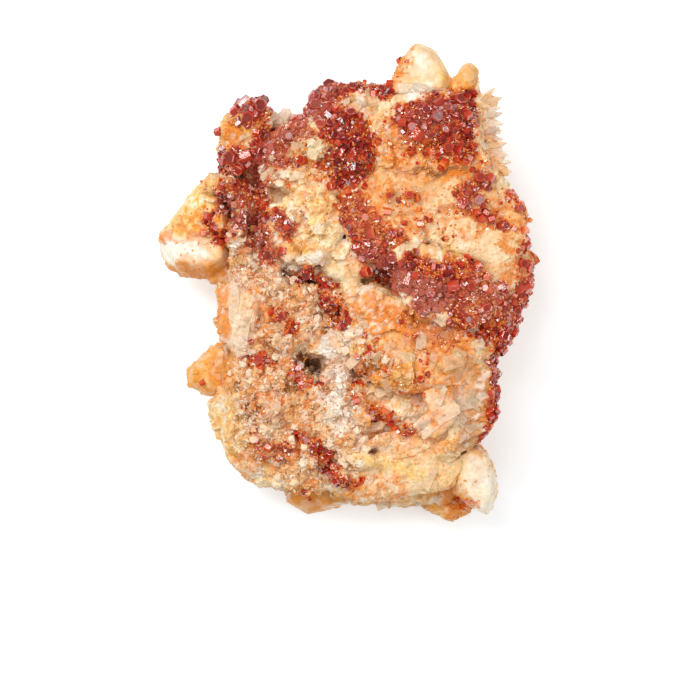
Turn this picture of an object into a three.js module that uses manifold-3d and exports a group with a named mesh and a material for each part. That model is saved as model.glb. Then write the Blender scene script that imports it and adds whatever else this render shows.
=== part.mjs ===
// Vanadinite on barite matrix, a hand-sized mineral specimen lying on its broken underside.
// Millimetres, +Z up. The origin is on the resting face, under the middle of the outline,
// and the specimen is seen from above with +Y away from the viewer and +X to the right.
// The rock is a stack of interlocking faceted ledges. Barite blades stand out of its rim,
// and crusts of hexagonal vanadinite crystals grow over its upper side. Every ledge, stone,
// blade and prism is one convex body, the hull of a few points, and these are joined.
import * as THREE from "three";
import { ConvexGeometry } from "three/addons/geometries/ConvexGeometry.js";
import { mergeVertices } from "three/addons/utils/BufferGeometryUtils.js";
import Module from "manifold-3d";

const wasm = await Module();
wasm.setup();

// Driving dimensions
const seatGap = 0.3; // between a crust or blade and the rock that it grows on
const faceJitter = 0.35; // how far a ledge's corners stray from their plane
const crumbSizes = [0.9, 1.7];
const crumbsPerStroke = 1;
const crystalAspect = 0.5; // height of a vanadinite prism above the rock for its width
const crystalDepth = 1.6; // how deep a prism is rooted, before it is cut
const crystalLean = 0.35;
const crystalOverlap = [1.2, 1.36]; // a crystal's width for the spacing of its crust
const loneWidths = [2.4, 3.2]; // of the small crystals that are one with the rock
const rayLength = 80; // how far back a ray starts from the point that it is aimed at
const rayMiddle = 24; // height at which a slanted ray passes the point that is given

// A small seeded random source, so that every build is the same
function randomFrom(seed) {
  let state = seed >>> 0;
  return () => {
    state = (state + 0x6d2b79f5) >>> 0;
    let t = Math.imul(state ^ (state >>> 15), 1 | state);
    t = (t + Math.imul(t ^ (t >>> 7), 61 | t)) ^ t;
    return ((t ^ (t >>> 14)) >>> 0) / 4294967296;
  };
}

const between = (random, low, high) => low + (high - low) * random();

// Turns a closed three.js geometry into a solid that can be joined and cut
function solidOf(geometry) {
  const bare = new THREE.BufferGeometry();
  bare.setAttribute("position", geometry.getAttribute("position"));
  if (geometry.index) bare.setIndex(geometry.index);
  const merged = mergeVertices(bare);
  const mesh = new wasm.Mesh({
    numProp: 3,
    vertProperties: new Float32Array(merged.attributes.position.array),
    triVerts: new Uint32Array(merged.index.array),
  });
  return new wasm.Manifold(mesh);
}

// Turns a solid back into a flat-shaded geometry
function geometryOf(solid) {
  const mesh = solid.getMesh();
  const points = new Float32Array(mesh.numVert * 3);
  for (let i = 0; i < mesh.numVert; i++) {
    const start = i * mesh.numProp;
    points.set(mesh.vertProperties.subarray(start, start + 3), i * 3);
  }
  const geometry = new THREE.BufferGeometry();
  geometry.setAttribute("position", new THREE.BufferAttribute(points, 3));
  geometry.setIndex(new THREE.BufferAttribute(new Uint32Array(mesh.triVerts), 1));
  const flat = geometry.toNonIndexed();
  flat.computeVertexNormals();
  return flat;
}

// The convex bodies of a list, as one solid
const joined = (bodies) =>
  wasm.Manifold.union(bodies.map((points) => solidOf(new ConvexGeometry(points))));

const largestBody = (solid) =>
  solid.decompose().reduce((best, body) => (body.volume() > best.volume() ? body : best));

// A convex body made larger by the seat gap, sideways and up and down
function withGap(points) {
  const middle = new THREE.Box3().setFromPoints(points).getCenter(new THREE.Vector3());
  return points.map((point) => {
    const out = point.clone().sub(middle);
    const across = Math.hypot(out.x, out.y) || 1;
    const step = new THREE.Vector3(out.x / across, out.y / across, Math.sign(out.z));
    return point.clone().addScaledVector(step, seatGap);
  });
}

// Some bodies as one solid, cut back by the seat gap from the bodies that they grow on
function seated(bodies, ground) {
  const room = new THREE.Box3().setFromPoints(bodies.flat()).expandByScalar(1);
  const near = ground.filter((points) =>
    new THREE.Box3().setFromPoints(points).intersectsBox(room),
  );
  return largestBody(joined(bodies).subtract(joined(near.map(withGap))));
}

function centreOf(outline) {
  const sum = outline.reduce(([sx, sy], [x, y]) => [sx + x, sy + y], [0, 0]);
  return [sum[0] / outline.length, sum[1] / outline.length];
}

// One ledge of rock: a tilted polygonal top with a broken edge, on a base that flares or
// undercuts. rise is the top's slope along X and Y.
function ledge({ outline, top, rise = [0, 0], base, flare = 0.9, edge = 1, seed }) {
  const random = randomFrom(seed * 7919);
  const [cx, cy] = centreOf(outline);
  return outline.flatMap(([x, y], i) => {
    const reach = Math.hypot(x - cx, y - cy);
    const inset = Math.max(0.3, 1 - (edge * between(random, 0.7, 1.6)) / reach);
    const plane = top + rise[0] * (x - cx) + rise[1] * (y - cy);
    const height = plane + between(random, -faceJitter, faceJitter);
    const shoulder = Math.max(plane - edge * between(random, 0.8, 1.5), base + 0.4);
    const foot = flare * between(random, 0.9, 1.06);
    const points = [
      new THREE.Vector3(cx + (x - cx) * inset, cy + (y - cy) * inset, height),
      new THREE.Vector3(x, y, shoulder),
    ];
    if (i % 2) return points;
    return [...points, new THREE.Vector3(cx + (x - cx) * foot, cy + (y - cy) * foot, base)];
  });
}

// A rough stone: a jittered icosahedron, or an octahedron for a shard, stretched to its sizes
function stone({ at, size, seed, turn = 0, shard = false }) {
  const random = randomFrom(seed * 104729);
  const form = shard ? new THREE.OctahedronGeometry(1.2) : new THREE.IcosahedronGeometry(1);
  form.deleteAttribute("normal");
  form.deleteAttribute("uv");
  const corners = mergeVertices(form).attributes.position;
  const axis = new THREE.Vector3(0.6, 0, 0.8);
  return Array.from({ length: corners.count }, (_, i) =>
    new THREE.Vector3()
      .fromBufferAttribute(corners, i)
      .multiplyScalar(between(random, 0.78, 1.12))
      .applyAxisAngle(axis, turn + 0.4)
      .multiply(new THREE.Vector3(...size))
      .add(new THREE.Vector3(...at)),
  );
}

// The rock's core: one convex body through five levels, from the flat broken face that it
// rests on to just under the ledges
const coreOutline = [
  [-25, -10], [-24.6, 2], [-19, 17], [-11, 30], [-2, 36], [10, 37.5], [23, 36.5],
  [28.4, 24], [34, 12], [35, 1], [32, -11], [29, -22], [25, -33], [19, -43],
  [4, -43.5], [-10, -41.5], [-21, -36], [-25.5, -25],
];
const coreLevels = [
  { z: 0, share: 0.52, shift: [1.5, -1.5] },
  { z: 5, share: 0.76, shift: [1, -1] },
  { z: 11, share: 0.92, shift: [0, 0] },
  { z: 18, share: 1, shift: [0, 0] },
  { z: 23, share: 0.93, shift: [0, 0] },
];

function rockCore() {
  const random = randomFrom(11);
  return coreLevels.flatMap(({ z, share, shift }) =>
    coreOutline.map(([x, y]) => {
      const stray = share + between(random, -0.06, 0.02);
      const lift = z > 0 ? between(random, -1.5, 1.5) : 0;
      return new THREE.Vector3(x * stray + shift[0], y * stray + shift[1], z + lift);
    }),
  );
}

// Ledges of the upper side, from the far edge to the near one
const ledges = [
  // Far right: the smooth barite plate and the shelf above it
  { outline: [[6, 24], [14, 22], [24, 23.4], [31, 22.6], [34, 18.6], [35.8, 14], [36.2, 9.5], [35, 4], [28, 3], [18, 7], [9, 11], [5, 16]],
    top: 29.6, rise: [-0.14, 0.03], base: 15, edge: 0.8 },
  { outline: [[4, 31], [8, 37], [14, 38.5], [24, 38], [26, 34], [27.6, 28], [29.6, 22.6], [24, 22.4], [14, 20.8], [6, 23]],
    top: 31.6, rise: [-0.09, 0.04], base: 14, edge: 0.9 },
  { outline: [[11, 33], [15, 36], [24, 36.8], [26.4, 32], [24, 27.4], [16, 27], [12, 29]],
    top: 33.6, rise: [0.02, 0.02], base: 28, edge: 2 },
  { outline: [[7, 20], [13, 19.6], [22, 21.2], [27, 20], [22, 16.2], [12, 14.4], [7, 15.4]],
    top: 30.4, rise: [-0.1, 0.06], base: 26, edge: 0.6 },
  // Far middle: the crown and the ridge that comes down from it
  { outline: [[-8, 34], [-6.6, 38], [-3.4, 40], [-1, 39], [-1.4, 34.6], [-4, 32]],
    top: 27.6, rise: [0.1, -0.3], base: 13, edge: 1.6 },
  { outline: [[-1.4, 37], [0, 39.6], [4, 40], [7.8, 39], [9.4, 36], [7, 31], [-2, 31]],
    top: 28.6, rise: [0, -0.35], base: 14, edge: 1.4 },
  { outline: [[-17.6, 24], [-15, 29], [-11, 32.2], [-6, 34], [1, 33.4], [5, 30], [6, 24], [5, 18], [-2, 16.5], [-10, 17], [-16, 19]],
    top: 31, rise: [0.16, -0.05], base: 14, edge: 2.2 },
  { outline: [[-9, 31], [-1, 32.4], [4.4, 30], [5, 22], [1, 19], [-5, 24]],
    top: 32.6, rise: [0.02, -0.1], base: 27, edge: 1.6 },
  { outline: [[-16, 22.6], [-9, 23.4], [-7.4, 21], [-10, 18.6], [-16.6, 18.6]],
    top: 31, rise: [0.1, 0], base: 25, edge: 0.8 },
  // Middle: the pale ledge that overhangs the hollow, and the shoulder beside it
  { outline: [[-18, 10], [-15.2, 8], [-12.8, 4.6], [-10, 2.8], [-6.8, 2.4], [-3.4, 5], [-0.8, 9], [-0.8, 14.5], [-5, 17.6], [-11, 17.4], [-16, 15]],
    top: 31.4, rise: [0.06, 0.04], base: 25, flare: 0.9, edge: 0.7 },
  { outline: [[-5, 3], [-3, 6], [0, 8.6], [3.6, 6], [4.4, 2.4], [1.6, -1.8], [-2, -0.6]],
    top: 30.2, rise: [0.08, 0.1], base: 22, edge: 1 },
  // The band that carries the crystals, and the flat plate at its near end
  { outline: [[-0.8, 18], [5, 17.4], [9.6, 12], [16.6, 8.8], [15, 4], [9, 2.8], [3.4, 4.4], [-0.6, 10]],
    top: 32.8, rise: [-0.02, 0], base: 22, edge: 1.6 },
  { outline: [[9.6, 5.4], [17, 7], [24, 4.4], [30, -0.6], [32, -6], [24, -9], [19, -8.6], [12.4, -6.4], [9.8, -1]],
    top: 34, rise: [-0.12, 0.06], base: 24, edge: 1 },
  { outline: [[-1, -1], [7, -1.4], [12, -6], [20, -9.6], [28, -9], [30, -15], [22, -22], [10, -23], [2, -19], [-1, -10]],
    top: 29.6, rise: [-0.03, 0.06], base: 17, edge: 1.8 },
  // Right rim and the shoulder below it
  { outline: [[30, 8], [34, 11.6], [37, 8.6], [37.6, 3], [36.8, -3], [34.6, -9], [31, -15.6], [27, -11], [27, 0]],
    top: 27, rise: [-0.3, 0.02], base: 12, flare: 0.88, edge: 2 },
  { outline: [[20, -19], [26, -15.6], [29.6, -17.6], [30, -25], [29.4, -29.2], [24, -32.4], [17, -33], [15, -26]],
    top: 27.4, rise: [-0.05, 0.1], base: 8, flare: 0.96, edge: 1 },
  { outline: [[18, -31.6], [29.4, -29.6], [28, -32], [24.6, -34.4], [17.6, -36.6]],
    top: 27.2, rise: [0, 0.18], base: 12, edge: 0.6 },
  // Left side: the smooth bar, the crumbly basin and the cheek at the lower left
  { outline: [[-26, -1.2], [-22, 1], [-18.6, -3], [-18.2, -12], [-21, -15.5], [-26, -13], [-26.2, -6]],
    top: 24.6, rise: [0.22, 0.02], base: 7, edge: 1.2 },
  { outline: [[-24, 16], [-20, 19], [-16, 18], [-12, 4], [-16, 0], [-24, 1]],
    top: 24.4, rise: [0.05, 0.05], base: 12, edge: 1 },
  { outline: [[-23, 3], [-12, 4], [-4, 3], [2, -4], [0, -16], [-8, -20], [-19, -19], [-22, -12]],
    top: 25.4, rise: [0.13, 0], base: 10, edge: 1.6 },
  { outline: [[-24.6, -20], [-12, -17], [0, -17], [6, -26], [3.6, -37], [-3, -43.4], [-14, -42.8], [-17.6, -42], [-22, -38.6], [-24.8, -32]],
    top: 25.2, rise: [0.1, 0.08], base: 8, edge: 2.4 },
  { outline: [[-27.8, -25], [-26, -22], [-21, -21], [-20, -34], [-22.6, -38.8], [-25.2, -34.6], [-27.6, -27]],
    top: 20.6, rise: [0.25, 0], base: 6, edge: 1.4 },
  // Near edge: the smooth cream shoulder over its shaded side
  { outline: [[-1, -33.4], [8, -31], [19, -33], [24, -37], [22, -42.2], [14, -42.8], [8, -43.4], [2, -45.2], [-3, -44]],
    top: 24.4, rise: [0.02, 0.26], base: 8, flare: 1.02, edge: 1.2 },
  { outline: [[1.6, -45.4], [5, -46.2], [9, -45], [14, -45.2], [20, -45.4], [24, -43], [22, -37], [0, -37]],
    top: 15.5, rise: [0.04, 0.2], base: 4, edge: 0.8 },
  { outline: [[14, -44.8], [17.6, -47.8], [22, -48], [23.6, -48.4], [26, -46.8], [25, -41], [16, -41]],
    top: 13.5, rise: [0.1, 0.15], base: 4.5, edge: 0.8 },
  // The far-left knob in two lobes, and the lump between it and the nose
  { outline: [[-26.2, 29], [-25, 32], [-22.4, 35.6], [-19, 37], [-16.6, 36], [-15.4, 32], [-19, 28]],
    top: 25.6, rise: [0.05, 0.04], base: 12, flare: 0.85, edge: 1.6 },
  { outline: [[-26.2, 29], [-20, 30], [-15, 30], [-16.4, 25], [-20, 22], [-23.4, 21.6], [-25.8, 24], [-26.2, 26.4]],
    top: 24.4, rise: [0.1, 0.04], base: 11, flare: 0.85, edge: 1.5 },
  { outline: [[-17, 35], [-14.8, 34.6], [-11, 32.4], [-9, 27], [-15, 24], [-19, 28]],
    top: 21, rise: [0.1, -0.1], base: 9, edge: 1 },
  { outline: [[-30, 19.6], [-26.6, 21], [-22.6, 21.2], [-19.4, 19], [-21, 16.6], [-28, 16.2]],
    top: 25.2, rise: [0.05, 0.02], base: 10, edge: 1.3 },
  // Low rock in the gap between the knob, the nose lump and the ridge
  { outline: [[-24.4, 17], [-25, 22], [-20, 29], [-13, 28], [-14, 17]], top: 20.4, base: 8, edge: 1.2 },
];

// Lone lumps that show from a step away, the first ones on the broken underside
const lumps = [
  { at: [-15, -20, 7.4], size: [8, 10, 6] },
  { at: [-9, -33, 8.6], size: [9, 7, 6] },
  { at: [13, -33, 7], size: [9, 8, 6] },
  { at: [22, -12, 7.4], size: [6, 10, 5.6] },
  { at: [23, 12, 8.2], size: [7, 9, 6] },
  { at: [-12, 12, 7], size: [8, 9, 6] },
  { at: [6, 27, 8.4], size: [9, 7, 6.4] },
  { at: [-26, 12, 24.6], size: [1.5, 2.3, 1.8] },
  { at: [-21.6, 9, 25], size: [2.2, 1.5, 1.6] },
  { at: [-21.2, 14, 25.4], size: [1.8, 2.4, 1.6] },
  { at: [-14.6, 2.6, 25], size: [2.8, 2, 1.8] },
  { at: [-9.8, -1.4, 26], size: [1.7, 1.9, 2.2] },
  { at: [-3.4, -4.4, 28], size: [2.2, 2.8, 1.8] },
  { at: [-12, -13, 25.6], size: [3, 1.8, 1.6] },
  { at: [-14.6, -26.6, 26], size: [1.7, 2.2, 1.6] },
  { at: [-9, -38, 25.4], size: [2.6, 1.3, 1.5] },
  { at: [-1.8, -39.4, 25.4], size: [2, 2, 1.6] },
  { at: [3.4, -37, 26], size: [3, 2.4, 1.4] },
  { at: [0.6, 35, 29], size: [3.2, 2.4, 1.8] },
  { at: [-6.4, 26.6, 32.6], size: [1.8, 2.8, 1.4] },
  { at: [12, 6.4, 33], size: [3, 1.3, 1.5] },
  { at: [10, -19, 29], size: [3.2, 2.6, 1.6] },
  { at: [22, -16, 29], size: [2.2, 2.2, 1.5] },
  { at: [27, -12, 29], size: [2.4, 2.6, 1.4] },
  { at: [4, -28.6, 27], size: [3, 1.4, 1.2] },
  { at: [-17, -40.8, 20], size: [2.2, 1.9, 2.4] },
  { at: [-12.4, -41.4, 21], size: [2.6, 1.8, 2.4] },
];

// Strokes along which small crumbs are strewn: x, y and half width
const crumbStrokes = [
  [-21, 5, 3], [-16, -2, 4], [-9, -4, 4], [-13, -8, 4], [-4, -11, 3], [-18, -20, 4],
  [-10, -24, 5], [-2, -24, 4], [-19, -30, 5], [-10, -31, 5], [-3, -30, 4], [-16, -36, 5],
  [-8, -39, 4], [3, -22, 3], [1, -34, 3], [-22, 10, 3],
];
// Small crystals that are one with the rock: on the far-left ridge, round the smooth plate,
// in the hollow behind the pale ledge, on the near seam and on single spots
const loneCrystals = [
  [-17, 22], [-14.6, 25.6], [-11.6, 29], [-8.4, 31.4], [-10, 26.6],
  [8.8, 17], [12.8, 17], [15, 11.4], [23.6, 16.6], [26.4, 15.8], [27.6, 20.2],
  [-18.6, 11.8], [-15.6, 5], [-12, 10.6], [-14, -7],
  [-7.6, -32.6], [-4.6, -36], [0.4, -41],
  [-17.4, -34.6], [9.4, -18.6], [7.6, -27],
];

// Pits and cracks: stones of air
const pits = [
  { at: [-6.6, -17.6, 27], size: [3, 3.2, 7.5] },
  { at: [3, -19, 29], size: [3.4, 1.7, 4] },
  { at: [5.8, -35, 27], size: [1.2, 1.3, 4] },
  { at: [-24.6, 15.2, 25], size: [1.6, 2, 5] },
  { at: [-19.6, 18.4, 27], size: [1.8, 2.2, 4.5] },
  { at: [-21.4, 20.8, 25], size: [2, 1.4, 6] },
  { at: [-8, 0.4, 29], size: [3.8, 1.6, 6] },
  { at: [-14.4, 6, 26], size: [2, 1.8, 4] },
  { at: [4.3, 23, 33], size: [0.9, 1, 4] },
  { at: [9.8, 1.6, 34], size: [1.2, 2.2, 5] },
  { at: [15, -8.8, 31.5], size: [3.8, 1.4, 4] },
  { at: [-20.6, -26, 25], size: [1.4, 1, 3] },
];

// The surface of some meshes straight below a point, or along a slanted ray
function surfaceUnder(meshes, x, y, slant = [0, 0]) {
  const direction = new THREE.Vector3(slant[0], slant[1], -1).normalize();
  const start = new THREE.Vector3(x, y, rayMiddle).addScaledVector(direction, -rayLength);
  const [hit] = new THREE.Raycaster(start, direction).intersectObjects(meshes);
  return hit;
}

function crumbsOn(meshes) {
  const random = randomFrom(29);
  const crumbs = [];
  for (const [x, y, halfWidth] of crumbStrokes) {
    for (let i = 0; i < crumbsPerStroke; i++) {
      const turn = between(random, 0, Math.PI * 2);
      const reach = halfWidth * Math.sqrt(random());
      const hit = surfaceUnder(meshes, x + reach * Math.cos(turn), y + reach * Math.sin(turn));
      const size = between(random, ...crumbSizes);
      const form = [size, size * between(random, 0.7, 1.2), size * 0.9];
      const at = [hit.point.x, hit.point.y, hit.point.z + size * 0.15];
      crumbs.push(stone({ at, size: form, seed: crumbs.length + 40, turn, shard: true }));
    }
  }
  return crumbs;
}

// Vanadinite: one short hexagonal prism, leaning a little, wide enough to join its neighbours
function crystal(hit, width, random) {
  const stray = new THREE.Vector3(...[1, 1, 0.5].map((s) => s * between(random, -1, 1)));
  const axis = hit.face.normal.clone().addScaledVector(stray, crystalLean).normalize();
  const height = width * crystalAspect * between(random, 0.75, 1.3);
  const prism = new THREE.CylinderGeometry(width / 2, width / 2, height + crystalDepth, 6);
  prism.translate(0, (height - crystalDepth) / 2, 0);
  prism.rotateY(between(random, 0, 2));
  const up = new THREE.Vector3(0, 1, 0);
  prism.applyQuaternion(new THREE.Quaternion().setFromUnitVectors(up, axis));
  prism.translate(...hit.point.toArray());
  const corners = prism.attributes.position;
  return [0, 1, 2, 3, 4, 5, 7, 8, 9, 10, 11, 12].map((i) =>
    new THREE.Vector3().fromBufferAttribute(corners, i),
  );
}

// Crystals at some places, seen from above or along slanted rays, with widths in a range
function growing(spots, meshes, widths, random, slant) {
  return spots
    .map(([x, y]) => surfaceUnder(meshes, x, y, slant))
    .filter((hit) => hit)
    .map((hit) => crystal(hit, between(random, ...widths), random));
}

function inside(outline, x, y) {
  return outline.reduce((odd, [ax, ay], i) => {
    const [bx, by] = outline[(i + 1) % outline.length];
    const crosses = ay > y !== by > y && x < ax + ((y - ay) / (by - ay)) * (bx - ax);
    return crosses ? !odd : odd;
  }, false);
}

// Places on a jittered hexagonal lattice inside an outline
function places(outline, spacing, random) {
  const corners = outline.map(([x, y]) => new THREE.Vector2(x, y));
  const { min, max } = new THREE.Box2().setFromPoints(corners);
  const rowStep = (spacing * Math.sqrt(3)) / 2;
  const stray = () => between(random, -0.12, 0.12) * spacing;
  const found = [];
  for (let row = 0; min.y + row * rowStep <= max.y; row++) {
    const y = min.y + row * rowStep;
    for (let x = min.x + (row % 2) * (spacing / 2); x <= max.x; x += spacing) {
      if (inside(outline, x, y)) found.push([x + stray(), y + stray()]);
    }
  }
  return found;
}

// Barite blades: thin or stubby hulls that stand out of the rim. A blade has an outline and
// a middle plane, with the bevel of a barite crystal on both faces.
function blade({ outline, middle, rise = [0, 0], thick, bevel = 1.2, seed }) {
  const random = randomFrom(seed * 3571);
  const [cx, cy] = centreOf(outline);
  return outline.flatMap(([x, y]) => {
    const reach = Math.hypot(x - cx, y - cy);
    const inset = Math.max(0.25, 1 - (bevel * between(random, 0.8, 1.3)) / reach);
    const plane = middle + rise[0] * (x - cx) + rise[1] * (y - cy);
    const half = (thick / 2) * between(random, 0.92, 1.08);
    const [faceX, faceY] = [cx + (x - cx) * inset, cy + (y - cy) * inset];
    return [
      new THREE.Vector3(x, y, plane + between(random, -0.15, 0.15) * thick),
      new THREE.Vector3(faceX, faceY, plane + half),
      new THREE.Vector3(faceX, faceY, plane - half),
    ];
  });
}

const bariteCrystals = {
  barite_top_blade: [
    { outline: [[8.2, 38.6], [9.8, 42.6], [12.2, 46.2], [13.6, 48], [14.9, 48.4], [18.2, 46.7], [19.8, 44], [21.2, 40.6], [20, 37.4], [11, 36]],
      middle: 27, rise: [-0.05, -0.12], thick: 5.4, bevel: 1.5 },
    { outline: [[9, 37], [13, 39.6], [17, 39], [19, 36], [12, 34.6]],
      middle: 30.4, rise: [0, -0.1], thick: 4, bevel: 1 },
  ],
  barite_finger: [
    { outline: [[20.6, 37.6], [21.2, 40.2], [23, 42.8], [24.6, 44.5], [25.5, 44.5], [26.8, 42.6], [26.9, 41], [25.6, 37.6]],
      middle: 25.4, rise: [-0.1, -0.15], thick: 4.6, bevel: 1.3 },
    { outline: [[24, 36], [25.4, 39.6], [27.3, 39.6], [27.2, 37]],
      middle: 25, rise: [0, 0], thick: 3, bevel: 0.7 },
  ],
  barite_comb: [
    { outline: [[24.8, 37.4], [27.4, 37.6], [28.4, 33], [30, 28], [31.2, 22.6], [30, 20.6], [26, 31]],
      middle: 24, thick: 5, bevel: 0.8 },
    { outline: [[24, 38.4], [28.6, 37.7], [31.2, 37.2], [30.2, 34.8], [24, 34.6]],
      middle: 25.8, rise: [-0.15, 0.08], thick: 2.4, bevel: 0.8 },
    { outline: [[24, 35.6], [27.4, 34.6], [30.7, 34.1], [29.8, 31.8], [24, 31]],
      middle: 27.4, rise: [-0.2, 0.14], thick: 2.2, bevel: 0.7 },
    { outline: [[24, 32.6], [29.9, 31.6], [30.6, 29.4], [29.6, 28.2], [24, 27.6]],
      middle: 26, rise: [-0.2, 0.1], thick: 3, bevel: 0.8 },
    { outline: [[26, 28.6], [31.1, 27.8], [31.9, 25], [31, 23], [26, 24]],
      middle: 26.4, rise: [-0.2, 0.15], thick: 2.4, bevel: 0.7 },
    { outline: [[28, 24.2], [32.7, 23.3], [33.1, 21.4], [28, 20]],
      middle: 26, rise: [-0.2, 0.12], thick: 2.6, bevel: 0.6 },
  ],
  barite_nose: [
    { outline: [[-38.5, 9.8], [-38.6, 6.4], [-36.8, 2.4], [-34.6, 0.8], [-27, 0.1], [-23, 4], [-23, 12], [-30, 13], [-36, 12.1]],
      middle: 14.6, rise: [0.12, 0.02], thick: 11, bevel: 3 },
    { outline: [[-36.2, 12.2], [-33.4, 15.2], [-30.6, 19.6], [-27.4, 20.4], [-23, 19], [-23, 8], [-33, 7]],
      middle: 17, rise: [0.14, 0.02], thick: 10, bevel: 2.6 },
    { outline: [[-28.4, -0.8], [-24, -1.2], [-23, 4], [-28, 4]],
      middle: 13, thick: 7, bevel: 0.8 },
  ],
  barite_spur: [
    { outline: [[-32.8, -18.6], [-32.7, -21.8], [-29.4, -23.6], [-23, -24.4], [-21.6, -13.6], [-26.6, -12.6], [-30, -15.8]],
      middle: 13.4, rise: [0.22, 0.02], thick: 6.4, bevel: 1.6 },
  ],
  barite_near_blade: [
    { outline: [[-12.6, -43.4], [-12, -45.6], [-8, -48.2], [-4, -47.3], [1.4, -45.6], [3, -40], [-10, -38]],
      middle: 11.6, rise: [0.02, 0.14], thick: 4.6, bevel: 1 },
    { outline: [[-12.4, -44], [-12.2, -46], [-10.4, -46.4], [-8, -43], [-10, -41]],
      middle: 9, thick: 2.6, bevel: 0.6 },
  ],
  barite_corner_blade: [
    { outline: [[20.4, -39], [22, -35], [27, -33.2], [29.2, -35.6], [30.6, -40], [30.6, -44], [30, -46.4], [28.8, -48.1], [26, -46.6], [21.8, -43.4]],
      middle: 20, rise: [-0.06, 0.16], thick: 7.4, bevel: 1.6 },
  ],
  barite_plates: [
    { outline: [[15.4, -22.6], [18.6, -21.4], [21.8, -22.4], [22.8, -27.6], [20.6, -29.6], [17, -27.6]],
      middle: 29.2, rise: [-0.1, 0.1], thick: 2, bevel: 0.6 },
    { outline: [[13, -29.6], [16.6, -26.6], [21, -27.4], [22, -29], [17.8, -32.2], [14.6, -31.4]],
      middle: 28.6, rise: [0, 0.2], thick: 2, bevel: 0.6 },
    { outline: [[3.4, -30.4], [7, -29.2], [13.8, -27.2], [14, -29], [8, -31.2]],
      middle: 27.6, rise: [0.05, 0.2], thick: 2, bevel: 0.6 },
  ],
};

// Crusts of vanadinite: an outline, the spacing of its crystals, and the slant of the rays
// that find the rock, for those on its sides
const crusts = {
  vanadinite_knob_cap: {
    outline: [[-23.4, 31], [-21.6, 35], [-18, 37], [-15.8, 35.6], [-16, 32], [-19, 30.4]],
    spacing: 3,
  },
  vanadinite_knob_foot: {
    outline: [[-25.6, 23], [-25, 26.4], [-19, 28.4], [-17.4, 25], [-20.6, 22.2]],
    spacing: 3.2,
  },
  vanadinite_crown_west: {
    outline: [[-8, 33.4], [-7.4, 37.4], [-3.6, 39], [-1, 37.6], [-2, 33]], spacing: 2.7,
  },
  vanadinite_crown_east: {
    outline: [[0, 38.4], [8.8, 38.4], [8.8, 35.8], [0, 35.8]], spacing: 2.8,
  },
  vanadinite_ridge: {
    outline: [[-3, 21.6], [-6.6, 28.6], [-4, 33.4], [1, 34], [4.8, 30], [5.4, 24], [4.6, 20]],
    spacing: 3.7,
  },
  vanadinite_far_cluster: {
    outline: [[10, 30.6], [11.4, 34.8], [16, 36], [21, 37], [25.4, 36], [26, 32], [24, 27],
      [20, 25.2], [17, 28], [12.6, 28]],
    spacing: 3.9,
  },
  vanadinite_band: {
    outline: [[-0.6, 17.4], [5, 16.6], [9, 12], [15, 9], [15, 5.6], [10.6, 4], [5.6, 4.2],
      [2, 7], [-0.8, 11]],
    spacing: 3.5,
  },
  vanadinite_plateau: {
    outline: [[11.4, 3.6], [17, 6.2], [24, 3.6], [30, -0.6], [31.6, -6], [27, -8.8], [22, -8],
      [13.4, -5], [11, 0]],
    spacing: 4,
  },
  vanadinite_rim: {
    outline: [[31.8, 9.4], [35, 8], [36.2, 3], [35.8, -3], [34, -8], [31.6, -14], [28.8, -12],
      [31, -6], [32.4, 0], [31.8, 5]],
    spacing: 3.1, slant: [-0.2, 0],
  },
  vanadinite_flank: {
    outline: [[27.6, -16.8], [30.2, -16.8], [30.2, -28], [27.6, -28]],
    spacing: 2.6, slant: [-0.8, 0],
  },
};

const bariteMaterial = new THREE.MeshStandardMaterial({
  color: 0xeecb95, roughness: 0.42, metalness: 0,
});
const rockMaterial = new THREE.MeshStandardMaterial({
  color: 0xd9ae80, roughness: 0.85, metalness: 0,
});
const vanadiniteMaterial = new THREE.MeshStandardMaterial({
  color: 0x96200f, roughness: 0.22, metalness: 0,
});

const specimen = new THREE.Group();

function show(name, solid, material) {
  const mesh = new THREE.Mesh(geometryOf(solid), material);
  mesh.name = name;
  specimen.add(mesh);
  return mesh;
}

const mass = [
  rockCore(),
  ...ledges.map((one, i) => ledge({ seed: i + 1, ...one })),
  ...lumps.map((one, i) => stone({ seed: i + 1, ...one })),
];
const bareRock = new THREE.Mesh(geometryOf(joined(mass)));
const rock = [
  ...mass,
  ...crumbsOn([bareRock]),
  ...growing(loneCrystals, [bareRock], loneWidths, randomFrom(31)),
];
const hollows = pits.map((one, i) => stone({ seed: i + 90, ...one }));
const matrix = largestBody(joined(rock).subtract(joined(hollows)));
const ground = [...rock];
const surfaces = [show("matrix", matrix, rockMaterial)];

Object.entries(bariteCrystals).forEach(([name, parts], i) => {
  const blades = parts.map((one, j) => blade({ seed: i * 9 + j + 1, ...one }));
  surfaces.push(show(name, seated(blades, ground), bariteMaterial));
  ground.push(...blades);
});

Object.entries(crusts).forEach(([name, { outline, spacing, slant }], i) => {
  const random = randomFrom(500 + i);
  const widths = crystalOverlap.map((share) => share * spacing);
  const spots = places(outline, spacing, random);
  const crystals = growing(spots, surfaces, widths, random, slant);
  show(name, seated(crystals, ground), vanadiniteMaterial);
  ground.push(...crystals);
});

export default specimen;
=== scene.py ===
import math

import bmesh
import bpy
import numpy as np
from mathutils import Matrix, Vector, noise
from mathutils.bvhtree import BVHTree


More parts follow.
